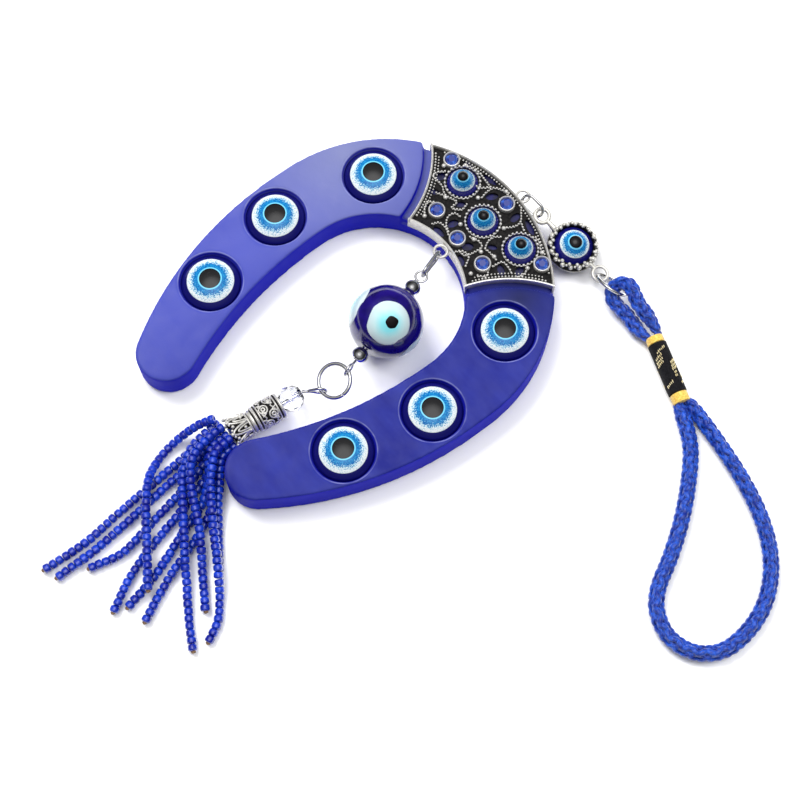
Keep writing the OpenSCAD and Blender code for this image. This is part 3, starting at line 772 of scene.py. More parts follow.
END_LIP = [(0.0, 6.55), (0.0, 8.35), (0.12, 8.55), (0.35, 8.6), (0.55, 8.45), (0.62, 8.2), (0.62, 7.2)]
INNER_LIP = [(0.0, 4.5), (0.0, 8.1), (0.1, 8.4), (0.3, 8.5), (0.55, 8.35), (0.65, 8.0), (0.65, 7.2),
             (0.55, 7.2), (0.55, 4.5)]
OUTER_LIP = [(0.0, 4.5), (0.0, 8.25), (0.12, 8.45), (0.32, 8.5), (0.5, 8.3), (0.55, 7.2), (0.55, 4.5)]
STONE_CUP = [(1.72, 7.0), (2.12, 7.0), (2.14, 8.55), (2.02, 8.72), (1.84, 8.74), (1.72, 8.6), (1.68, 7.0)]


def plate_beadwork():
    """Rows of small balls: along the ends, round the eyes, on the scrolls and under the top lip."""
    parts = []
    for trim, r in ((1.15, 0.3), (1.95, 0.24)):
        right, _, left, _ = plate_outline(trim, 60)
        parts += beads_on(right[3:-3], 0.82, r, 7.75, 1.5) + beads_on(left[3:-3], 0.82, r, 7.75, 1.5)
    around = 26
    for x, y in PLATE_EYES:
        for k in range(around):
            at = np.add(polar(EYE_R, 2 * math.pi * k / around, 7.9), (x, y, 0))
            parts.append(ball(at, 0.36 * rng.uniform(0.9, 1.08), 10, 7, 1.3))
        parts.append(ring(EYE_R, 0.17, 48, 6, (x, y, 7.42)))
    for line in SCROLLS:
        path = smooth_path(line, 8)
        parts += beads_on(path, 0.8, 0.3, 7.75, 1.35, 0.03)
        parts.append(sweep(np.column_stack([path, np.full(len(path), 7.38)]), 0.18, 6))
    parts += [ball((x, y, 7.75), 0.58, 14, 9, 1.15) for x, y in KNOBS]
    crest = plate_outline(1.1, 40)[1]
    return parts + beads_on(crest[4:-4], 0.86, 0.26, 7.8, 1.3)


def build_plate():
    def piece(name, part, material, replaces=(), **look):
        object_from(name, part, material, "horseshoe", replaces, "plate_metal", **look)

    openings = [leaf(*row) for row in LEAVES]
    piece("plate_floor", flat_plate(closed_outline(0.3), openings, 6.6, 7.35), BLACK, smooth=False)
    # A thin navy sheet under the plate's openings: painted shade.
    piece("plate_backing", flat_plate(closed_outline(0.5), [], 6.52, 6.6), NAVY_SHADE_SHEET, smooth=False)
    right, top, left, inner = plate_outline(0.0, 40)
    walls = [wall_along(right, END_LIP), wall_along(left, END_LIP),
             wall_along(inner, INNER_LIP), wall_along(top, OUTER_LIP)]
    piece("plate_rim", join(walls), BRIGHT, sharp=40)
    piece("plate_beadwork", join(plate_beadwork()), SILVER)
    cup = lathe(STONE_CUP, 40)
    piece("plate_bezels", join([place(cup, at=(x, y, 0)) for x, y in STONES]), BRIGHT, sharp=50)
    loops = [ring(1.6, 0.4, 48, 10, TOP_LOOP), ring(1.65, 0.4, 48, 10, INNER_LOOP)]
    piece("plate_loops", join(loops), BRIGHT, ["crown_plate"])


def eye_bead(r, foot, rise, bulge, rows=22):
    """A tall small eye: a low wall, a steep dome and a proud round pupil on top."""
    prof = [(0, 0), (r - 0.2, 0), (r, 0.2), (r, foot)]
    for k in range(1, rows + 1):
        q = r * (1 - k / rows)
        z = foot + rise * (1 - (q / r) ** 2) ** 1.12
        if q < bulge:
            z += 0.42 * math.sqrt(1 - (q / bulge) ** 2)
        prof.append((q, z))
    return prof


def build_plate_eyes():
    part = lathe(eye_bead(3.9, 0.6, 4.0, 1.5), 64)
    for i, (x, y) in enumerate(PLATE_EYES):
        object_from(f"plate_eye_dome_{i + 1}", part, PLATE_EYE, "horseshoe", [f"plate_eye_{i + 1}"],
                    "small_eye_glass", rot(z=rng.uniform(0, 360)), (x, y, 7.0))


def build_stones():
    """Round cut: a table, eight star facets and sixteen girdle facets."""
    rows = [(0.86, 1.1, 8, 0), (1.25, 0.82, 8, 0.5), (1.58, 0.5, 16, 0), (1.58, 0.0, 16, 0)]
    verts = [polar(r, 2 * math.pi / n * (k + shift), z) for r, z, n, shift in rows for k in range(n)]
    faces = [tuple(range(8)), tuple(range(47, 31, -1))]
    for k in range(8):
        j, t, after = (k + 1) % 8, 16 + 2 * k, 16 + (2 * k + 2) % 16
        faces += [(k, 8 + k, j), (k, t, 8 + k), (8 + k, t, t + 1), (8 + k, t + 1, after), (8 + k, after, j)]
    for k in range(16):
        j = (k + 1) % 16
        faces.append((16 + k, 32 + k, 32 + j, 16 + j))
    for i, (x, y) in enumerate(STONES):
        object_from(f"faceted_stone_{i + 1}", (verts, faces), STONE, "horseshoe", [f"crown_stone_{i + 1}"],
                    "faceted_stone", rot(z=rng.uniform(0, 45)), (x, y, 7.7), smooth=False)


# ------------------------------------------------------------------ chains


def along(u):
    """The turn and lift that bring X onto a direction."""
    return rot(y=-math.degrees(math.atan2(u[2], math.hypot(u[0], u[1]))), z=bearing((0, 0), u))


def build_rings():
    def oval(name, body, near, far, half, matrix):
        path = oval_path(np.linalg.norm(far - near), half)
        part = place(sweep(path, 0.4, 12, True), matrix)
        object_from(name, part, CHROME, body, [body], "ring_metal", at=near)

    def jump_ring(name, body, start, wire, matrix, at):
        path = circle_path(4.15, 120, start, start + 357)
        object_from(name, place(sweep(path, wire, 12), matrix), CHROME, body, [body], "ring_metal", at=at)

    oval("top_oval_ring", "top_link_ring", TOP_NEAR, TOP_FAR, 1.9, along(TOP_U) @ rot(x=55))
    jump_ring("cord_jump_ring", "cord_ring", 62, 0.45, rot(y=-15) @ rot(x=-50), CORD_RING_C)
    oval("drop_oval_ring", "drop_ring", DROP_NEAR, DROP_FAR, 1.6, along(DROP_U) @ rot(x=90))
    jump_ring("link_jump_ring", "link_ring", 92, 0.5, rot(y=25, z=-97), LINK_C)


def build_drop_pin():
    on_pin = rot(y=90, z=-73)
    wire = [BEAD_C - 13.2 * PIN_U, BEAD_C, BEAD_C + 13.75 * PIN_U]
    parts = [ring(1.45, 0.3, 40, 10, UPPER_PIN_LOOP), sweep(wire, 0.3, 10),
             ring(1.6, 0.3, 40, 10, LOWER_PIN_LOOP, rot(z=-73) @ rot(x=90))]
    object_from("drop_eye_pin", join(parts), CHROME, "drop_pin", ["drop_pin"], "ring_metal")
    round_side = [polar(2.05, a)[:2] for a in np.linspace(-1.18, 1.18, 14)]
    spacer = lathe([(0.45, -1.9), *round_side, (0.45, 1.9), (0.45, -1.9)], 40)
    for name, side in (("upper", -1), ("lower", 1)):
        object_from(f"metal_ball_{name}", spacer, CHROME, f"spacer_{name}", [f"spacer_{name}"],
                    "spacer_metal", on_pin, BEAD_C + side * 10.85 * PIN_U, sharp=60)


# direction of each lampwork eye from the bead's centre, its radius, and its pupil's shift
BEAD_SPOTS = [((0.39, -0.20, 0.90), 5.2, (0.06, 0.05)), ((-0.86, -0.44, 0.22), 5.6, (0, -0.5)),
              ((-0.20, -0.10, -0.97), 4.9, (0.1, 0)), ((0.90, 0.26, -0.34), 4.8, (0, 0))]
BEAD_SKIN = 9.15
PUPIL_R = 1.75


def bead_patch(r, out, uneven, seed):
    """A round patch lying on the bead, its edge a little uneven."""
    steps = 16
    prof = [(0, BEAD_SKIN + out)]
    for k in range(1, steps + 1):
        q = r * k / steps
        lift = out * (1 - (k / steps) ** 6)
        prof.append((q, math.sqrt((BEAD_SKIN + lift) ** 2 - q * q)))
    foot = math.sqrt(BEAD_SKIN ** 2 - r * r)
    verts, faces = lathe([*prof, (r * 0.98, foot - 0.5), (0, foot - 0.6)], 72)
    for j, p in enumerate(verts):
        edge = polar(1.3, math.atan2(p[1], p[0]), seed)
        verts[j, :2] *= 1 + uneven * noise.noise(Vector(edge))
    return verts, [f[::-1] for f in faces]


def facing(z):
    """A turn that takes Z to that direction."""
    x = unit(np.cross([0.1, 0.2, 1.0], z))
    return np.stack([x, np.cross(z, x), z], 1)


def build_bead():
    """The bead's own Z is its wire. Its eyes stand round its middle."""
    round_side = [polar(9.1, -1.27 + 2.54 * k / 40)[:2] for k in range(41)]
    verts, faces = lathe([(0.8, -8.6), *round_side, (0.8, 8.6), (0.8, -8.6)], 64)
    for i, p in enumerate(verts):
        verts[i] = p * (1 + noise.noise(Vector(p) * 0.16) * 0.16 / 9.2)
    object_from("lampwork_body", (verts, faces), COBALT, "lampwork_bead", ["lampwork_bead"], "bead_glass",
                rot(y=90, z=-73), BEAD_C, sharp=70)
    for i, (direction, r, (dx, dy)) in enumerate(BEAD_SPOTS):
        turn = facing(unit(direction))
        x, y, z = turn.T
        pupil_turn = facing(unit(z + dx * x + dy * y))
        patches = (("white", bead_patch(r, 0.12, 0.04, 5.0 * i + r), SPOT, turn),
                   ("pupil", bead_patch(PUPIL_R, 0.20, 0.09, 5.0 * i + PUPIL_R), PUPIL, pupil_turn))
        for name, patch, material, matrix in patches:
            object_from(f"lampwork_{name}_{i + 1}", patch, material, "lampwork_bead",
                        slot="bead_glass", matrix=matrix, at=BEAD_C)


def build_charm():
    m = rot(y=7.8, z=7)
    dish = lathe([(0, -0.9), (6.1, -0.9), (6.45, -0.75), (6.5, -0.4), (6.3, -0.1), (5.9, 0.1), (5.6, 1.0),
                  (5.4, 1.45), (5.15, 1.5), (5.1, 1.3), (5.1, -0.1), (0, -0.1)], 72)
    object_from("charm_dish", dish, BLACK, "charm", slot="charm_metal", matrix=m, at=CHARM_C, sharp=50)
    parts = [ring(6.35, 0.24, 72, at=(0, 0, -0.55))]
    lobes = 17
    for k in range(lobes):
        a = 2 * math.pi * (k + 0.5) / lobes
        for off, r, out, z in ((0.0, 0.74, 5.85, 0.75), (-0.1, 0.52, 5.4, 1.65), (0.16, 0.36, 5.9, 1.5)):
            parts.append(ball(polar(out, a + off, z), r * rng.uniform(0.88, 1.08), 12, 8, 1.1))
    parts += [ring(1.85, 0.55, 40, 12, (-11, 0, 0)),
              sweep([(-9.0, 0, 0), (-7.8, 0, -0.05), (-6.0, 0, -0.2)], [0.62, 0.72, 0.95], 10),
              ring(1.9, 0.45, 40, 12, (9.6, 0, 0)),
              sweep([(7.75, 0, 0), (6.9, 0, -0.05), (5.9, 0, -0.2)], [0.5, 0.7, 0.95], 10)]
    object_from("charm_crown", join(parts), CHARM_SILVER, "charm", ["charm_setting"], "charm_metal", m,
                CHARM_C, sharp=50)
    object_from("charm_dome", lathe(eye_bead(5, 0.7, 3.3, 1.75, 26), 80), CHARM_EYE, "charm", ["charm_eye"],
                "small_eye_glass", m, CHARM_C + m @ np.array([0, 0, -0.1]))


# ------------------------------------------------------------------ tassel head


def on_tassel(at):
    return TASSEL_START + at * TASSEL_U


def build_headpin():
    neck = unit(TASSEL_START - TASSEL_LOOP)
    round_end = [polar(1.5, a) for a in np.radians(np.linspace(75, 285, 22))]
    loop = smooth_path([(2.9, 0.2, 0), (1.5, 0.85, 0), *round_end, (1.5, -0.85, 0), (2.9, -0.2, 0)], 3)
    pin = smooth_path([TASSEL_LOOP + 2.7 * neck, TASSEL_START, on_tassel(0.8), on_tassel(16)], 8)
    parts = [place(sweep(loop, 0.35, 10), rot(z=bearing((0, 0), neck)) @ rot(x=90), TASSEL_LOOP),
             sweep(pin, 0.35, 10)]
    object_from("tassel_headpin", join(parts), CHROME, "tassel", ["tassel_pin"], "ring_metal")


def build_crystal(m):
    """A clear bead with rows of nine triangular facets, each row turned half a facet."""
    rows = [(0.5, -2.8), (1.75, -2.78), (2.75, -1.7), (3.28, -0.55),
            (3.28, 0.55), (2.75, 1.7), (1.75, 2.78), (0.5, 2.8)]
    n = 9
    verts = [polar(r, 2 * math.pi * (k + 0.5 * (j % 2)) / n, z)
             for j, (r, z) in enumerate(rows) for k in range(n)]
    faces = []
    for j in range(len(rows) - 1):
        for k in range(n):
            a, b = j * n + k, j * n + (k + 1) % n
            c, d = a + n, b + n
            faces += [(a, b, c), (b, d, c)] if j % 2 == 0 else [(a, b, d), (a, d, c)]
    last = (len(rows) - 1) * n
    faces += [(last + k, last + (k + 1) % n, (k + 1) % n, k) for k in range(n)]
    object_from("faceted_crystal", (verts, faces), CRYSTAL, "crystal_bead", ["crystal_bead"],
                "crystal_glass", m, on_tassel(3.2), smooth=False)


def build_tassel_head():
    m = rot(y=90, z=-95)
    build_headpin()
    build_crystal(m)
    build_tube(m)
    build_cap(m)
    ends = [sweep([polar(0.5, a, 0.8), polar(1.1, a, 2.4)], 0.22, 6) for a in np.linspace(0, 5.7, 11)]
    object_from("tassel_thread_knot", join([ball((0, 0, 0), 1.45, 20, 14), *ends]), NAVY_THREAD, "tassel",
                ["tassel_knot"], "thread", m, on_tassel(17.7))


def on_barrel(points, r):
    """Points (degrees round, height) laid on a cylinder of that radius."""
    return [polar(r, math.radians(a), z) for a, z in points]


def build_tube(m):
    """A metal tube bead: rings at its ends, and round it circles in circles with chevrons between."""
    core = lathe([(0.5, -3.7), (2.9, -3.7), (3.2, -3.55), (3.2, 3.55), (2.9, 3.7), (0.5, 3.7),
                  (0.5, -3.7)], 64)
    bands = ((-3.3, 0.36), (3.3, 0.36), (-2.35, 0.2), (2.35, 0.2))
    raised = [ring(3.2, wire, 64, 8, (0, 0, z)) for z, wire in bands]
    skin, motifs = 3.34, 5
    for k in range(motifs):
        for s, z0 in ((0, -0.95), (1, 0.95)):
            a = 360 * k / motifs + s * 180 / motifs
            for r, wire in ((1.05, 0.2), (0.42, 0.24)):
                turns = np.linspace(0, 2 * math.pi, 20, endpoint=False)
                loop = [(a + math.degrees(r * math.cos(t) / 3.3), z0 + r * math.sin(t)) for t in turns]
                raised.append(sweep(on_barrel(loop, 3.36), wire, 6, True))
            mid, low = a + 90 / motifs, z0 * 0.2
            for d in (-1, 1):
                zig = [(mid - 11, low + d * 2.0), (mid, low + d * 0.8), (mid + 11, low + d * 2.0)]
                raised.append(sweep(on_barrel(smooth_path(zig, 5), skin), 0.17, 6))
            bar = [(a - 20, -z0 * 1.9), (a, -z0 * 1.15), (a + 20, -z0 * 1.9)]
            raised.append(sweep(on_barrel(bar, skin), 0.18, 6))
    at = on_tassel(9.8)
    object_from("tube_core", core, BLACK, "tube_bead", slot="tube_metal", matrix=m, at=at, sharp=40)
    object_from("tube_pattern", join(raised), TUBE_SILVER, "tube_bead", ["tube_bead"], "tube_metal", m, at)


CAP_COLLAR = [(0.5, 0.0), (2.7, 0.0), (3.1, 0.15), (3.15, 0.5), (2.95, 0.8), (2.6, 0.95), (0.5, 0.95),
              (0.5, 0.0)]
# A black cone just inside the arches: painted shade inside the cap, seen through its openings.
CAP_SHADE_LINING = [(2.35, 1.0), (2.55, 2.6), (2.9, 4.4), (3.35, 6.0), (3.2, 6.0), (2.75, 4.4), (2.4, 2.6),
              (2.2, 1.0), (2.35, 1.0)]
# in each petal: share of a petal's turn, distance out, height and size of each ball
CAP_BALLS = [(0, 3.75, 6.2, 0.46), (0, 3.15, 2.6, 0.36), (0.5, 3.55, 5.3, 0.42), (0.5, 3.05, 1.8, 0.32),
             (-0.25, 3.7, 5.9, 0.34), (0.25, 3.7, 5.9, 0.34)]


def build_cap(m):
    """A filigree cap: a collar, arched wires that open out, and a beaded scalloped mouth."""
    parts = [lathe(CAP_COLLAR, 48), ring(2.85, 0.26, 48, 8, (0, 0, 1.35))]
    petals, foot = 7, 1.5
    petal = 360 / petals
    for k in range(petals):
        for reach, top, wire in ((0.5, 5.9, 0.26), (0.28, 4.6, 0.2)):
            arch = []
            for t in np.linspace(0, 1, 15):
                z = foot + (top - foot) * math.sin(math.pi * t) ** 0.8
                r = 2.7 + 1.15 * max(0, (z - foot) / 5.0) ** 1.3
                arch.append(polar(r, math.radians(petal * k + (2 * t - 1) * reach * petal), z))
            parts.append(sweep(arch, wire, 6))
        for share, out, z, r in CAP_BALLS:
            n, rows = (12, 8) if r > 0.4 else (10, 7)
            parts.append(ball(polar(out, math.radians(petal * (k + share)), z), r, n, rows))
    at = on_tassel(13.7)
    # The black shell inside the arches is painted shade.
    object_from("cap_lining", lathe(CAP_SHADE_LINING, 48), BLACK, "tassel_cap", (), "cap_metal", m, at, sharp=40)
    object_from("cap_filigree", join(parts), CAP_SILVER, "tassel_cap", ["tassel_cap"], "cap_metal", m, at,
                sharp=60)


# ------------------------------------------------------------------ strands of seed beads

STRAND_ROUTES = [
    [(1.6, -83.4, 6.8), (0.1, -87, 4.9), (-0.8, -91, 2.4), (-0.6, -95.2, 1.2), (0.8, -99.4, 1.7),
     (3.2, -103, 3.3), (6.8, -106.2, 3.8), (11, -109.2, 3.7), (18, -113.6, 3.6), (25.2, -118.3, 3.5)],
    [(2.6, -82.8, 1.2), (3, -87, 1.2), (3.4, -92, 1.2), (4.5, -103, 1.2), (5.6, -114, 1.2),
     (6.8, -124, 1.2), (6.5, -134.6, 1.2)],
    [(4.4, -82.8, 2.8), (4.8, -87, 2.8), (5.9, -92, 1.3), (7.4, -104, 1.2), (8.8, -114, 1.2),
     (9.8, -124, 1.2), (9.9, -133.2, 1.2)],
    [(6.2, -82.8, 1.2), (6.6, -87, 1.2), (8.3, -92, 1.2), (10.7, -101, 1.2), (12.4, -109, 1.2),
     (14.2, -118.5, 1.2), (12.8, -126, 1.2)],
    [(8, -82.8, 2.8), (8.3, -87, 2.8), (10.8, -92, 1.3), (14.1, -101.5, 1.2), (16.8, -111, 1.2),
     (19.8, -119.6, 1.2), (24.2, -127.4, 1.2)],
    [(6.3, -82.8, 4.6), (6.6, -87, 4.7), (9.2, -89.6, 4.5), (12.2, -92, 3.5), (15.6, -96.6, 1.3),
     (18.4, -103.5, 1.2), (21.4, -110.5, 1.2), (24, -117.5, 1.2), (25.6, -124, 1.2)],
    [(9.6, -82.8, 1.2), (10.2, -87, 1.2), (15, -92, 1.2), (19.3, -97.5, 1.2), (22.4, -104, 1.2),
     (24.8, -110.7, 1.2), (27.7, -117, 1.2), (30.6, -122.8, 1.2)],
    [(2.6, -82.8, 4.4), (2.8, -87, 4.3), (4, -92, 3.7), (8.4, -97, 3.6), (15.6, -101.7, 3.7),
     (21, -105.2, 3.7), (25.4, -108, 3.3), (29.5, -110.6, 1.8), (36, -114.6, 1.2), (42.6, -118.1, 1.2)],
    [(4.4, -82.8, 5.9), (4.6, -87, 5.9), (6.4, -92.4, 6), (10.6, -95.9, 4.9), (15.5, -98.4, 3.8),
     (20.8, -100.7, 3.6), (25.6, -103.6, 2.6), (30, -106.4, 1.3), (36.7, -110.4, 1.2)],
    [(8, -82.8, 6.1), (8.5, -87, 6.4), (10.8, -89.6, 6.5), (13.4, -92, 5.9), (17.5, -94.8, 4.8),
     (23, -98.2, 3.7), (27.5, -100.6, 3.5), (32.3, -103.3, 3.4), (37.2, -106.6, 1.3),
     (41.2, -110, 1.2), (43.4, -113.8, 1.2)],
    [(9.6, -82.8, 4.4), (10.2, -86.8, 4.3), (14.6, -90.6, 3.6), (19.4, -94.4, 2.5),
     (23.6, -97.4, 1.3), (27.5, -100, 1.2), (31, -102.4, 1.2)]]
BEAD_PITCH = 1.72
SEED_D = 2.36


def seed_bead(d, length, n=14):
    """A short drum with round shoulders and a hole."""
    r, h, c = d / 2, length / 2, 0.5
    prof = [(0.3, -h + 0.12), (0.42, -h)]
    prof += [(r - c + c * math.cos(t), -h + c + c * math.sin(t)) for t in np.linspace(-1.5, 0, 5)]
    prof += [(r - c + c * math.cos(t), h - c + c * math.sin(t)) for t in np.linspace(0, 1.5, 5)]
    prof += [(0.42, h), (0.3, h - 0.12), (0.3, -h + 0.12)]
    return lathe(prof, n)


def strung_beads(path, t, a, b):
    """A bead at each point, none quite like the next in size, tilt or place."""
    parts = []
    for at, t1, a1, b1 in zip(path, t, a, b):
        d = SEED_D * rng.uniform(0.93, 1.01)
        bead = seed_bead(d, BEAD_PITCH * rng.uniform(0.93, 0.995))
        z = unit(t1 + rng.uniform(-0.1, 0.1) * a1 + rng.uniform(-0.1, 0.1) * b1)
        x = unit(np.cross(b1, z))
        turn = np.stack([x, np.cross(z, x), z], 1)
        parts.append(place(bead, turn, at + rng.uniform(-0.05, 0.05) * a1))
    return join(parts)


def build_strands():
    knot = join([ball((0, 0, 0), 0.55, 10, 7), ball((0.3, 0.25, 0.2), 0.34, 8, 6)])
    for letter, route in zip("abcdefghijk", STRAND_ROUTES):
        path, _ = resample(smooth_path(route, 10), BEAD_PITCH)
        t, a, b = frames(path)
        ob = object_from(f"seed_strand_{letter}", strung_beads(path, t, a, b), SEED_GLASS, "tassel",
                         [f"tassel_strand_{letter}"], "seed_bead_glass")
        tip = object_from(f"strand_tip_{letter}", knot, BROWN_THREAD, "tassel", slot="thread",
                          at=path[-1] + 0.9 * t[-1])


# ------------------------------------------------------------------ hanging cord

CORD_R = 2.0
SLIM = 1.15
CORD_TOP = [
    (48.8, 17, 3.1, SLIM), (46.4, 17.4, 3.9, 1.6), (43.5, 17.5, 4.8, CORD_R), (40, 17.5, 5.7, CORD_R),
    (35.6, 18.4, 6.8, CORD_R), (33.5, 17.8, 6.3, CORD_R), (32.7, 16.2, 4.9, CORD_R), (33.5, 14.6, 3.6, CORD_R),
    (35.6, 14, 3.1, CORD_R), (40, 14.5, 2.4, CORD_R), (43.5, 14.2, 2.1, CORD_R), (46, 14.3, 2.3, 1.6),
    (48.4, 14.7, 2.4, SLIM)]
CORD_LOOP = [
    (65.4, 11.6, 2.4, SLIM), (67.2, 11.9, 2.2, 1.7), (72, 11.5, 2, CORD_R), (80, 10.7, 2, CORD_R),
    (88.5, 9.4, 2, CORD_R), (97, 7.2, 2, CORD_R), (104.5, 3.8, 2, CORD_R), (110.6, -1, 2, CORD_R),
    (115, -7.2, 2, CORD_R), (117.2, -14.5, 2, CORD_R), (117, -21.6, 2, CORD_R), (113.2, -27, 2, CORD_R),
    (107, -29.2, 2, CORD_R), (101, -27.6, 2, CORD_R), (96.8, -23.6, 2, CORD_R), (93, -16.8, 2, CORD_R),
    (88.2, -9.4, 2, CORD_R), (82.2, -2, 2, CORD_R), (75.4, 4.6, 2, CORD_R), (68.2, 8.4, 2, CORD_R),
    (65.9, 9.1, 2.2, 1.7), (64.5, 9.5, 2.4, SLIM)]
SLEEVE_U = heading(-18)
SLEEVE_AT = np.array([48.3, 15.9, 2.5])


def braid(route, turns_per_mm=0.068, strands=8):
    """Flat yarns plaited round a line: half turn one way, half the other, over and under."""
    line, s = resample(smooth_path(route, 12), 0.42)
    path, radius = line[:, :3], line[:, 3]
    _, a, b = frames(path)
    parts = [sweep(path, radius * 0.62, 10)]
    half = strands // 2
    swing = 2 * math.pi * turns_per_mm * s
    for way, offset in ((1, 0.0), (-1, math.pi)):
        weave = np.cos(half * swing + offset)
        out = radius - 0.70 + 0.26 * weave
        for k in range(half):
            angle = way * swing + (2 * math.pi * k + offset) / half
            n = np.cos(angle)[:, None] * a + np.sin(angle)[:, None] * b
            parts.append(yarn(path + out[:, None] * n, n, 0.70 * radius / CORD_R, 0.46 * radius / CORD_R))
    return join(parts), path


def yarn(p, n, wide, thick, sides=8):
    """A flat oval yarn along p that lies with its thin way along n."""
    t = np.gradient(p, axis=0)
    across = np.cross(n, t)
    across /= np.linalg.norm(across, axis=1)[:, None]
    return tube_rings(p, wide, thick, across, n, sides), tube_faces(len(p), sides)


def build_binding(name, start, length, turns, m):
    """Thread wound round the cord, on a smooth body."""
    r = 2.05
    t = np.linspace(0, 1, turns * 28)
    angle = 2 * math.pi * turns * t
    out = r - 0.02 + 0.015 * np.sin(5.1 * angle)
    thread = np.stack([out * np.cos(angle), out * np.sin(angle), 0.15 + (length - 0.3) * t], 1)
    under = lathe([(0, 0.1), (r - 0.15, 0.1), (r, 0.3), (r, length - 0.3), (r - 0.15, length - 0.1),
                   (0, length - 0.1)], 40)
    part = join([sweep(thread, 0.2, 6), under])
    return object_from(f"yellow_binding_{name}", part, YELLOW, "hanging_cord", [f"cord_wrap_{name}"],
                       "wrap_thread", m, SLEEVE_AT + start * SLEEVE_U)


def build_cords():
    m = rot(y=90, z=-18)
    upper = build_binding("upper", 0, 2.0, 7, m)
    lower = build_binding("lower", 15.6, 2.6, 9, m)
    sleeve = build_sleeve(m)
    for name, route, pieces in (("top", CORD_TOP, [upper, sleeve]), ("loop", CORD_LOOP, [lower])):
        plait, path = braid(route)
        ob = object_from(f"braided_cord_{name}", plait, BRAID, "hanging_cord", [f"hanging_cord_{name}"],
                         "cord")


# groups of gold floats: start angle, start height, how many across and how many along
GOLD_GROUPS = [(160, 1.6, 6, 1), (196, 3.4, 5, 3), (128, 5.4, 4, 3), (150, 8.6, 2, 2), (196, 10.9, 5, 1),
               (128, 11.4, 2, 1), (20, 3.0, 5, 2), (60, 8.0, 5, 2), (300, 5.6, 4, 3), (280, 10.6, 5, 1)]


def build_sleeve(m):
    """A rolled brocade sleeve with rows of short gold floats."""
    rows = 60
    side = [(2.34, 0.2 + 13.2 * k / rows) for k in range(rows + 1)]
    ends = [(0, 0.05), (2.0, 0.05), (2.3, 0.15)], [(2.3, 13.45), (2.0, 13.55), (0, 13.55)]
    verts, faces = lathe([*ends[0], *side, *ends[1]], 72)
    for i, (x, y, z) in enumerate(verts):
        a, r = math.atan2(y, x), math.hypot(x, y)
        if r > 2.2:
            swell = 0.06 * noise.noise(Vector(polar(1.5, a, z * 0.25)))
            weave = 0.02 * math.sin(36 * a) * math.sin(z * 12)
            verts[i, :2] *= (r + swell + weave) / r
    at = SLEEVE_AT + 2.0 * SLEEVE_U
    cloth = object_from("brocade_sleeve", (verts, faces), BROCADE, "hanging_cord", ["cord_sleeve"],
                        "sleeve_brocade", m, at, sharp=60)
    parts = []
    for start, height, across, rows_along in GOLD_GROUPS:
        for k in range(across):
            for q in range(rows_along):
                a = math.radians(start + 10.5 * k + 3 * q)
                z = height + 0.95 * q + 0.22 * k + rng.uniform(-0.12, 0.12)
                half = 0.5 * rng.uniform(0.45, 0.8)
                parts.append(sweep([polar(2.38, a, z + t * half) for t in (-1, 0, 1)], [0.1, 0.13, 0.1], 6))
    gold = object_from("brocade_gold", join(parts), GOLD, "hanging_cord", (), "sleeve_brocade", m, at)
    gold.parent = cloth
    gold.matrix_parent_inverse = cloth.matrix_world.inverted()
    return cloth


# ------------------------------------------------------------------ stage, in metres

CAMERA_AT, CAMERA_TARGET = Vector((0.1273, -0.1224, 0.3677)), Vector((0.0229, -0.0431, 0))
LENS, SENSOR = 72.0, 36.0
FLOOR_HALF = 3.0
# height of the sky direction from 0 at the horizon to 1 overhead, and its brightness there
SKY = [(0.45, (0.03, 0.03, 0.034, 1)), (0.86, (0.22, 0.22, 0.22, 1)), (0.975, (1.0, 1.0, 1.0, 1))]
SKY_STRENGTH = 2.4


def aimed(name, data, at, target):
    """An object in the scene at one point, looking at another."""
    ob = bpy.data.objects.new(name, data)
    ob.location = at
    ob.rotation_mode = "QUATERNION"
    ob.rotation_quaternion = (Vector(target) - Vector(at)).to_track_quat("-Z", "Y")
    bpy.context.scene.collection.objects.link(ob)
    return ob


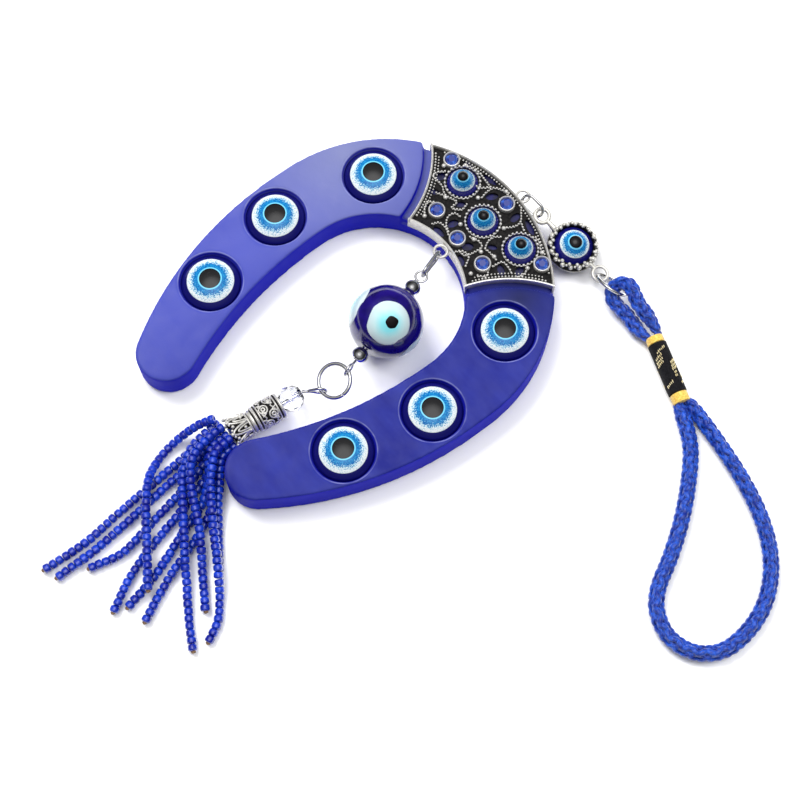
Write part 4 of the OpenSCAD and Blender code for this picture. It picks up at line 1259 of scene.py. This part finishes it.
def build_floor():
    me = bpy.data.meshes.new("floor")
    s = FLOOR_HALF
    me.from_pydata([(-s, -s, 0), (s, -s, 0), (s, s, 0), (-s, s, 0)], [], [(0, 1, 2, 3)])
    floor = bpy.data.objects.new("floor", me)
    bpy.context.scene.collection.objects.link(floor)
    m = Nodes("floor_white")
    m.set(Base_Color=(0.97, 0.97, 0.97, 1), Roughness=0.9)
    me.materials.append(m.mat)


def build_sky():
    """A soft light overhead that falls away to a dark horizon."""
    world = bpy.data.worlds.new("studio")
    bpy.context.scene.world = world
    world.use_nodes = True
    tree = world.node_tree
    coord = tree.nodes.new("ShaderNodeTexCoord")
    sep = tree.nodes.new("ShaderNodeSeparateXYZ")
    tree.links.new(coord.outputs["Generated"], sep.inputs[0])
    ramp = tree.nodes.new("ShaderNodeValToRGB")
    low, high = ramp.color_ramp.elements
    low.position, low.color = SKY[0]
    high.position, high.color = SKY[2]
    ramp.color_ramp.elements.new(SKY[1][0]).color = SKY[1][1]
    tree.links.new(sep.outputs[2], ramp.inputs["Fac"])
    tree.links.new(ramp.outputs["Color"], tree.nodes["Background"].inputs["Color"])
    tree.nodes["Background"].inputs["Strength"].default_value = SKY_STRENGTH


def build_stage():
    build_floor()
    build_sky()
    for name, at, size, power in (("key", (-0.55, -0.05, 0.75), (0.5, 0.5), 10.0),
                                  ("fill", (0.35, 0.55, 0.7), (0.5, 0.4), 4.0)):
        light = bpy.data.lights.new(name, "AREA")
        light.shape, light.size, light.size_y = "RECTANGLE", *size
        light.energy = power
        aimed(name, light, at, (0.03, -0.04, 0)).visible_glossy = False
    cam = bpy.data.cameras.new("camera")
    cam.lens, cam.sensor_width = LENS, SENSOR
    cam.clip_start, cam.clip_end = 0.01, 10
    bpy.context.scene.camera = aimed("camera", cam, CAMERA_AT, CAMERA_TARGET)
    bpy.context.scene.view_settings.view_transform = "Standard"


build_stage()
build_glass()
build_arm_eyes()
build_plate()
build_plate_eyes()
build_stones()
build_rings()
build_drop_pin()
build_bead()
build_charm()
build_tassel_head()
build_strands()
build_cords()

bpy.context.view_layer.update()
